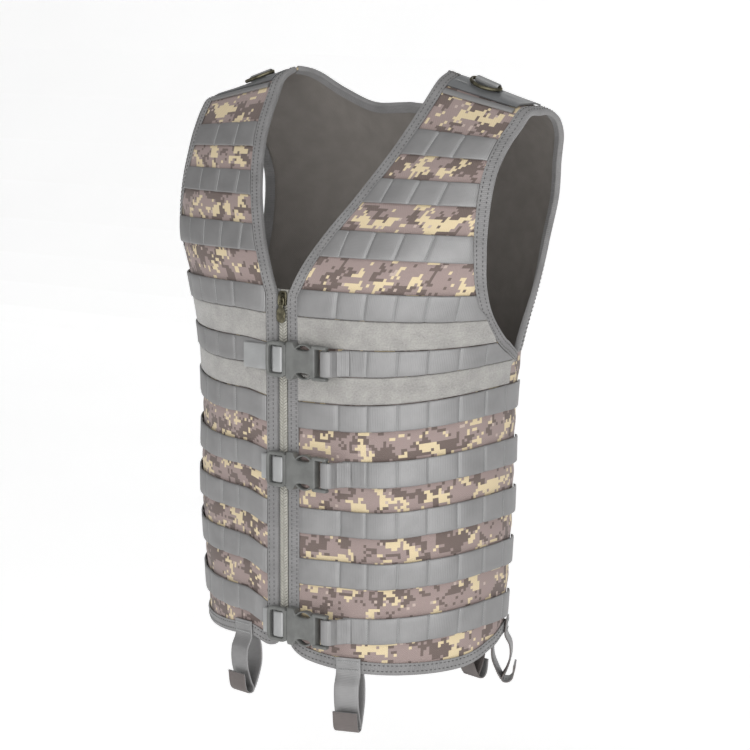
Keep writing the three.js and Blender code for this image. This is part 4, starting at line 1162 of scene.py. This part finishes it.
seat = (shoulder(RING_AT, RIDGE, WEB) + shoulder(RING_AT, RIDGE, WEB, True)) / 2
bar_axis = unit(shoulder(STRAP_TO, RIDGE, WEB, True) - shoulder(STRAP_FROM, RIDGE, WEB, True))
rearward = shoulder(RING_AT, STRAP_EDGE, WEB, True) - shoulder(RING_AT, RIDGE, WEB, True)
rearward = unit(rearward - bar_axis * (rearward @ bar_axis))
upward = unit(np.cross(bar_axis, rearward))
bar_centre = seat + upward * (KEEPER_RADIUS - 0.5)
forward = shoulder(RING_AT, RING_REACH, WEB + RING_WIRE + RING_RISE) - bar_centre
forward = forward - bar_axis * (forward @ bar_axis)
ring_depth = float(np.linalg.norm(forward))
forward = unit(forward)
ring_up = unit(np.cross(bar_axis, forward))

keeper_route = spline([(12, -2.0), (6, -1.3), (3.2, 1.2), (1.6, 2.6), (0, 3.0), (-1.9, 2.3), (-3.0, 0),
                       (-2.0, -2.3), (0, -3.0), (6, -3.2), (12, -3.3)], 60)
keeper_path = bar_centre + keeper_route[:, :1] * rearward + keeper_route[:, 1:] * upward
x = np.linspace(STRAP_FROM, STRAP_TO, 40)
strap_part = layer(x, STRAP_EDGE, STRAP_EDGE, 0.0, WEB, 0.4)
keeper_part = ribbon(keeper_path, bar_axis, KEEPER_WIDTH, 1.1)
welt_up = normal(shoulder_angle(x, WELT_W, False), WELT_W)
welt_path = shoulder(x, WELT_W, 1.2)
welt_side = unit(np.cross(np.gradient(welt_path, axis=0), welt_up))
welt_part = bar(welt_path, welt_side, welt_up, 3.0, 1.5, power=2.4, count=14)
tack_x = np.linspace(*TACK_X, 20)
tack_up = normal(shoulder_angle(tack_x, TACK_W, False), TACK_W)
tack_part = zigzag(shoulder(tack_x, TACK_W, WEB + 0.2), tack_up, rearward * 1.6, TACK_PITCH, 0.9)
a = np.linspace(0, np.pi, 49)
bow = stack(RING_HALF * np.cos(a), RING_FOOT + (ring_depth - RING_FOOT) * np.sin(a))
foot = spline([(-RING_HALF, RING_FOOT), (-RING_HALF + 0.9, 0.6), (-RING_HALF + 2.6, 0), (0, 0),
               (RING_HALF - 2.6, 0), (RING_HALF - 0.9, 0.6), (RING_HALF, RING_FOOT)], 40)[1:-1]
wire = np.concatenate([bow, foot])
wire_path = bar_centre + wire[:, :1] * bar_axis + wire[:, 1:] * forward
wire_out = unit(np.cross(np.roll(wire_path, -1, 0) - np.roll(wire_path, 1, 0), ring_up))
ring_part = bar(wire_path, wire_out, ring_up, RING_WIRE, RING_WIRE, power=2, count=16, ring=True)


def mirror(part, side):
    """The same loft on the other side of the body, with its faces turned so that they still point out."""
    if side > 0:
        return part
    return {**part, "points": part["points"] * [-1, 1, 1], "faces": part["faces"][:, ::-1]}


for name, side in SIDES:
    add_piece(f"strap_{name}", [mirror(strap_part, side)], [DARK_WEBBING],
              nodes=[f"shoulder_strap_{name}"])
    add_piece(f"keeper_{name}", [mirror(keeper_part, side)], [PALE_WEBBING])
    add_piece(f"welt_{name}", [mirror(welt_part, side)], [WEBBING])
    add_piece(f"strap_tack_{name}", [mirror(tack_part, side)], [THREAD])
    add_piece(f"ring_{name}_wire", [mirror(ring_part, side)], [BRASS], body=f"ring_{name}",
              nodes=[f"d_ring_{name}"])
print("ring depth:", round(ring_depth, 1), "mm")

# %% [markdown]
# ## Belt loops
# Six loops hang from the hem to hold a belt: an inner and an outer strap with a lens-shaped gap between,
# joined at the foot, where the outer one turns up into a cuff. Each is a route of distance outwards and
# height, carried round the body by the angle of its place.

# %% Belt loops
# angle of its place, and how far it hangs below the hem
LOOPS = {"front_left": (24.5, 57), "front_right": (-16.5, 57), "side_left": (108, 48),
         "side_right": (-108, 48), "back_left": (150, 52), "back_right": (-150, 52)}
LOOP_WIDTH = 25.0
LOOP_STRAP = 1.8
LOOP_SEAT = 5.75
LOOP_DRAWN = 68.0
LOOP_TACKS = (9.5, 1.5)
INNER_ROUTE = [(-3.7, 12), (-3.7, -4), (-6.2, -17), (-6, -36), (-1, -55), (2.4, -64)]
OUTER_ROUTE = [(LOOP_SEAT, 13), (LOOP_SEAT, -3), (10.8, -17), (11, -36), (6.6, -55), (3.2, -64), (4.6, -67.5),
               (9.2, -68), (13, -63), (15.2, -45)]
tacks = []
for name, (phi, drop) in LOOPS.items():
    w = float(hem(np.array(float(phi))))
    n = normal(phi, w)
    lean = -n[2] / np.hypot(n[0], n[1])
    out = unit(n * [1, 1, 0])
    parts = []
    for route, steps in ((INNER_ROUTE, 40), (OUTER_ROUTE, 70)):
        way = spline(route, steps)
        way[:, 1] = np.where(way[:, 1] < 0, way[:, 1] * drop / LOOP_DRAWN, way[:, 1])
        way[:, 0] += lean * np.maximum(way[:, 1], -10)
        path = body(phi, w) + way[:, :1] * out + way[:, 1:] * Z
        parts.append(ribbon(path, np.cross(Z, out), LOOP_WIDTH, LOOP_STRAP))
    # inner faces take the reverse, painted darker and browner as shade
    add_piece(f"loop_{name}", parts, [WEBBING, SHADE_DARK_WEBBING_REVERSE], nodes=[f"belt_loop_{name}"])
    for height in LOOP_TACKS:
        across = np.linspace(-1, 1, 20)[:, None] * np.cross(Z, out) * (LOOP_WIDTH / 2 - 1.5)
        line = body(phi, w) + out * (LOOP_SEAT + lean * height + LOOP_STRAP / 2 + 0.2) + Z * height + across
        tacks.append(zigzag(line, np.broadcast_to(out, line.shape), Z, TACK_PITCH, 0.6))
add_piece("loop_tacks", tacks, [THREAD])
print("belt loops:", len(LOOPS))

# %% [markdown]
# ## Studio
# A pale floor that curves up behind, and two soft lamps towards the wearer's left: a long low one that the
# satin webbing mirrors, and a broad one above it for chest and shoulders. The floor glows a little, as a
# lit backdrop does, so the other front has its light from there. The studio is measured in metres. The
# camera stands at the height and angle of the photograph.

# %% Floor and light
FLOOR = -0.82
FLOOR_HALF = 6.0
WALL_FROM = 3.0
WALL_BEND = 2.0
WALL_TOP = 5.0
GLOW = 0.5
AIM = np.array([0, -0.016, -0.279])
SURROUND = 0.31


def studio_floor():
    """A wide floor that rises into a wall in a quarter circle: straight, arc, straight."""
    a = np.linspace(0, np.pi / 2, 16)
    arc = stack(WALL_FROM + WALL_BEND * np.sin(a), WALL_BEND - WALL_BEND * np.cos(a))
    line = np.concatenate([[[-FLOOR_HALF, 0]], arc, [[WALL_FROM + WALL_BEND, WALL_TOP]]])
    n = len(line)
    sides = np.repeat([-FLOOR_HALF, FLOOR_HALF], n)
    points = stack(sides, *np.tile(line + [0, FLOOR], (2, 1)).T)
    i = np.arange(n - 1)
    mesh = bpy.data.meshes.new("studio_floor")
    mesh.from_pydata(points.tolist(), [], stack(i, i + n, i + n + 1, i + 1).tolist())
    floor = bpy.data.objects.new("studio_floor", mesh)
    bpy.context.collection.objects.link(floor)
    paint, tree, shader = new_material("matt_white_paint", 0.9)
    place = add_node(tree, "ShaderNodeTexCoord", {}, {}).outputs["Object"]
    tree.links.new(mottle(tree, place, 400, "#F4F4F4", "#F7F7F7"), shader.inputs["Base Color"])
    shader.inputs["Emission Color"].default_value = (1, 1, 1, 1)
    shader.inputs["Emission Strength"].default_value = GLOW
    mesh.materials.append(paint)
    floor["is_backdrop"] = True


def soft_light(name, azimuth, elevation, distance, width, height, watts):
    """An oblong lamp that looks at the middle of the vest."""
    lamp = bpy.data.lights.new(name, "AREA")
    lamp.shape = "RECTANGLE"
    lamp.size = width
    lamp.size_y = height
    lamp.energy = watts
    light = bpy.data.objects.new(name, lamp)
    bpy.context.collection.objects.link(light)
    place_facing(light, azimuth, elevation, distance)


def place_facing(thing, azimuth, elevation, distance):
    """Puts a lamp or camera on a sphere round the vest's middle and turns it to that middle."""
    a, e = np.radians([azimuth, elevation])
    way = np.array([np.sin(a) * np.cos(e), -np.cos(a) * np.cos(e), np.sin(e)])
    thing.location = AIM + way * distance
    thing.rotation_euler = (np.pi / 2 - e, 0, a)


studio_floor()
soft_light("main_softbox", azimuth=36, elevation=2, distance=3.4, width=5.5, height=1.2, watts=74)
soft_light("top_softbox", azimuth=24, elevation=45, distance=3.2, width=3.0, height=2.4, watts=34)
world = bpy.data.worlds.new("white_surround")
world.use_nodes = True
world.node_tree.nodes["Background"].inputs["Color"].default_value = (1, 1, 1, 1)
world.node_tree.nodes["Background"].inputs["Strength"].default_value = SURROUND
bpy.context.scene.world = world
bpy.context.scene.view_settings.view_transform = "Standard"
print("lamps:", len(bpy.data.lights))

# %% Camera
FRAME_PIXELS = 750
FOCAL_PIXELS = 2760
AIM_PIXEL = 361
SENSOR = 36
camera = bpy.data.cameras.new("camera")
camera.sensor_width = SENSOR
camera.lens = SENSOR * FOCAL_PIXELS / FRAME_PIXELS
camera.shift_x = (FRAME_PIXELS / 2 - AIM_PIXEL) / FRAME_PIXELS
camera.clip_end = 50
viewer = bpy.data.objects.new("camera", camera)
bpy.context.collection.objects.link(viewer)
place_facing(viewer, azimuth=38, elevation=8.5, distance=2.7)
bpy.context.scene.camera = viewer
print("lens:", round(camera.lens, 1), "mm")

# %% Sizes and finish
visual_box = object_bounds()
boxes = {"cad": [list(map(float, p)) for p in cad_box], "visual": [list(map(float, p)) for p in visual_box]}
print("CAD box:", boxes["cad"], "visual box:", boxes["visual"])
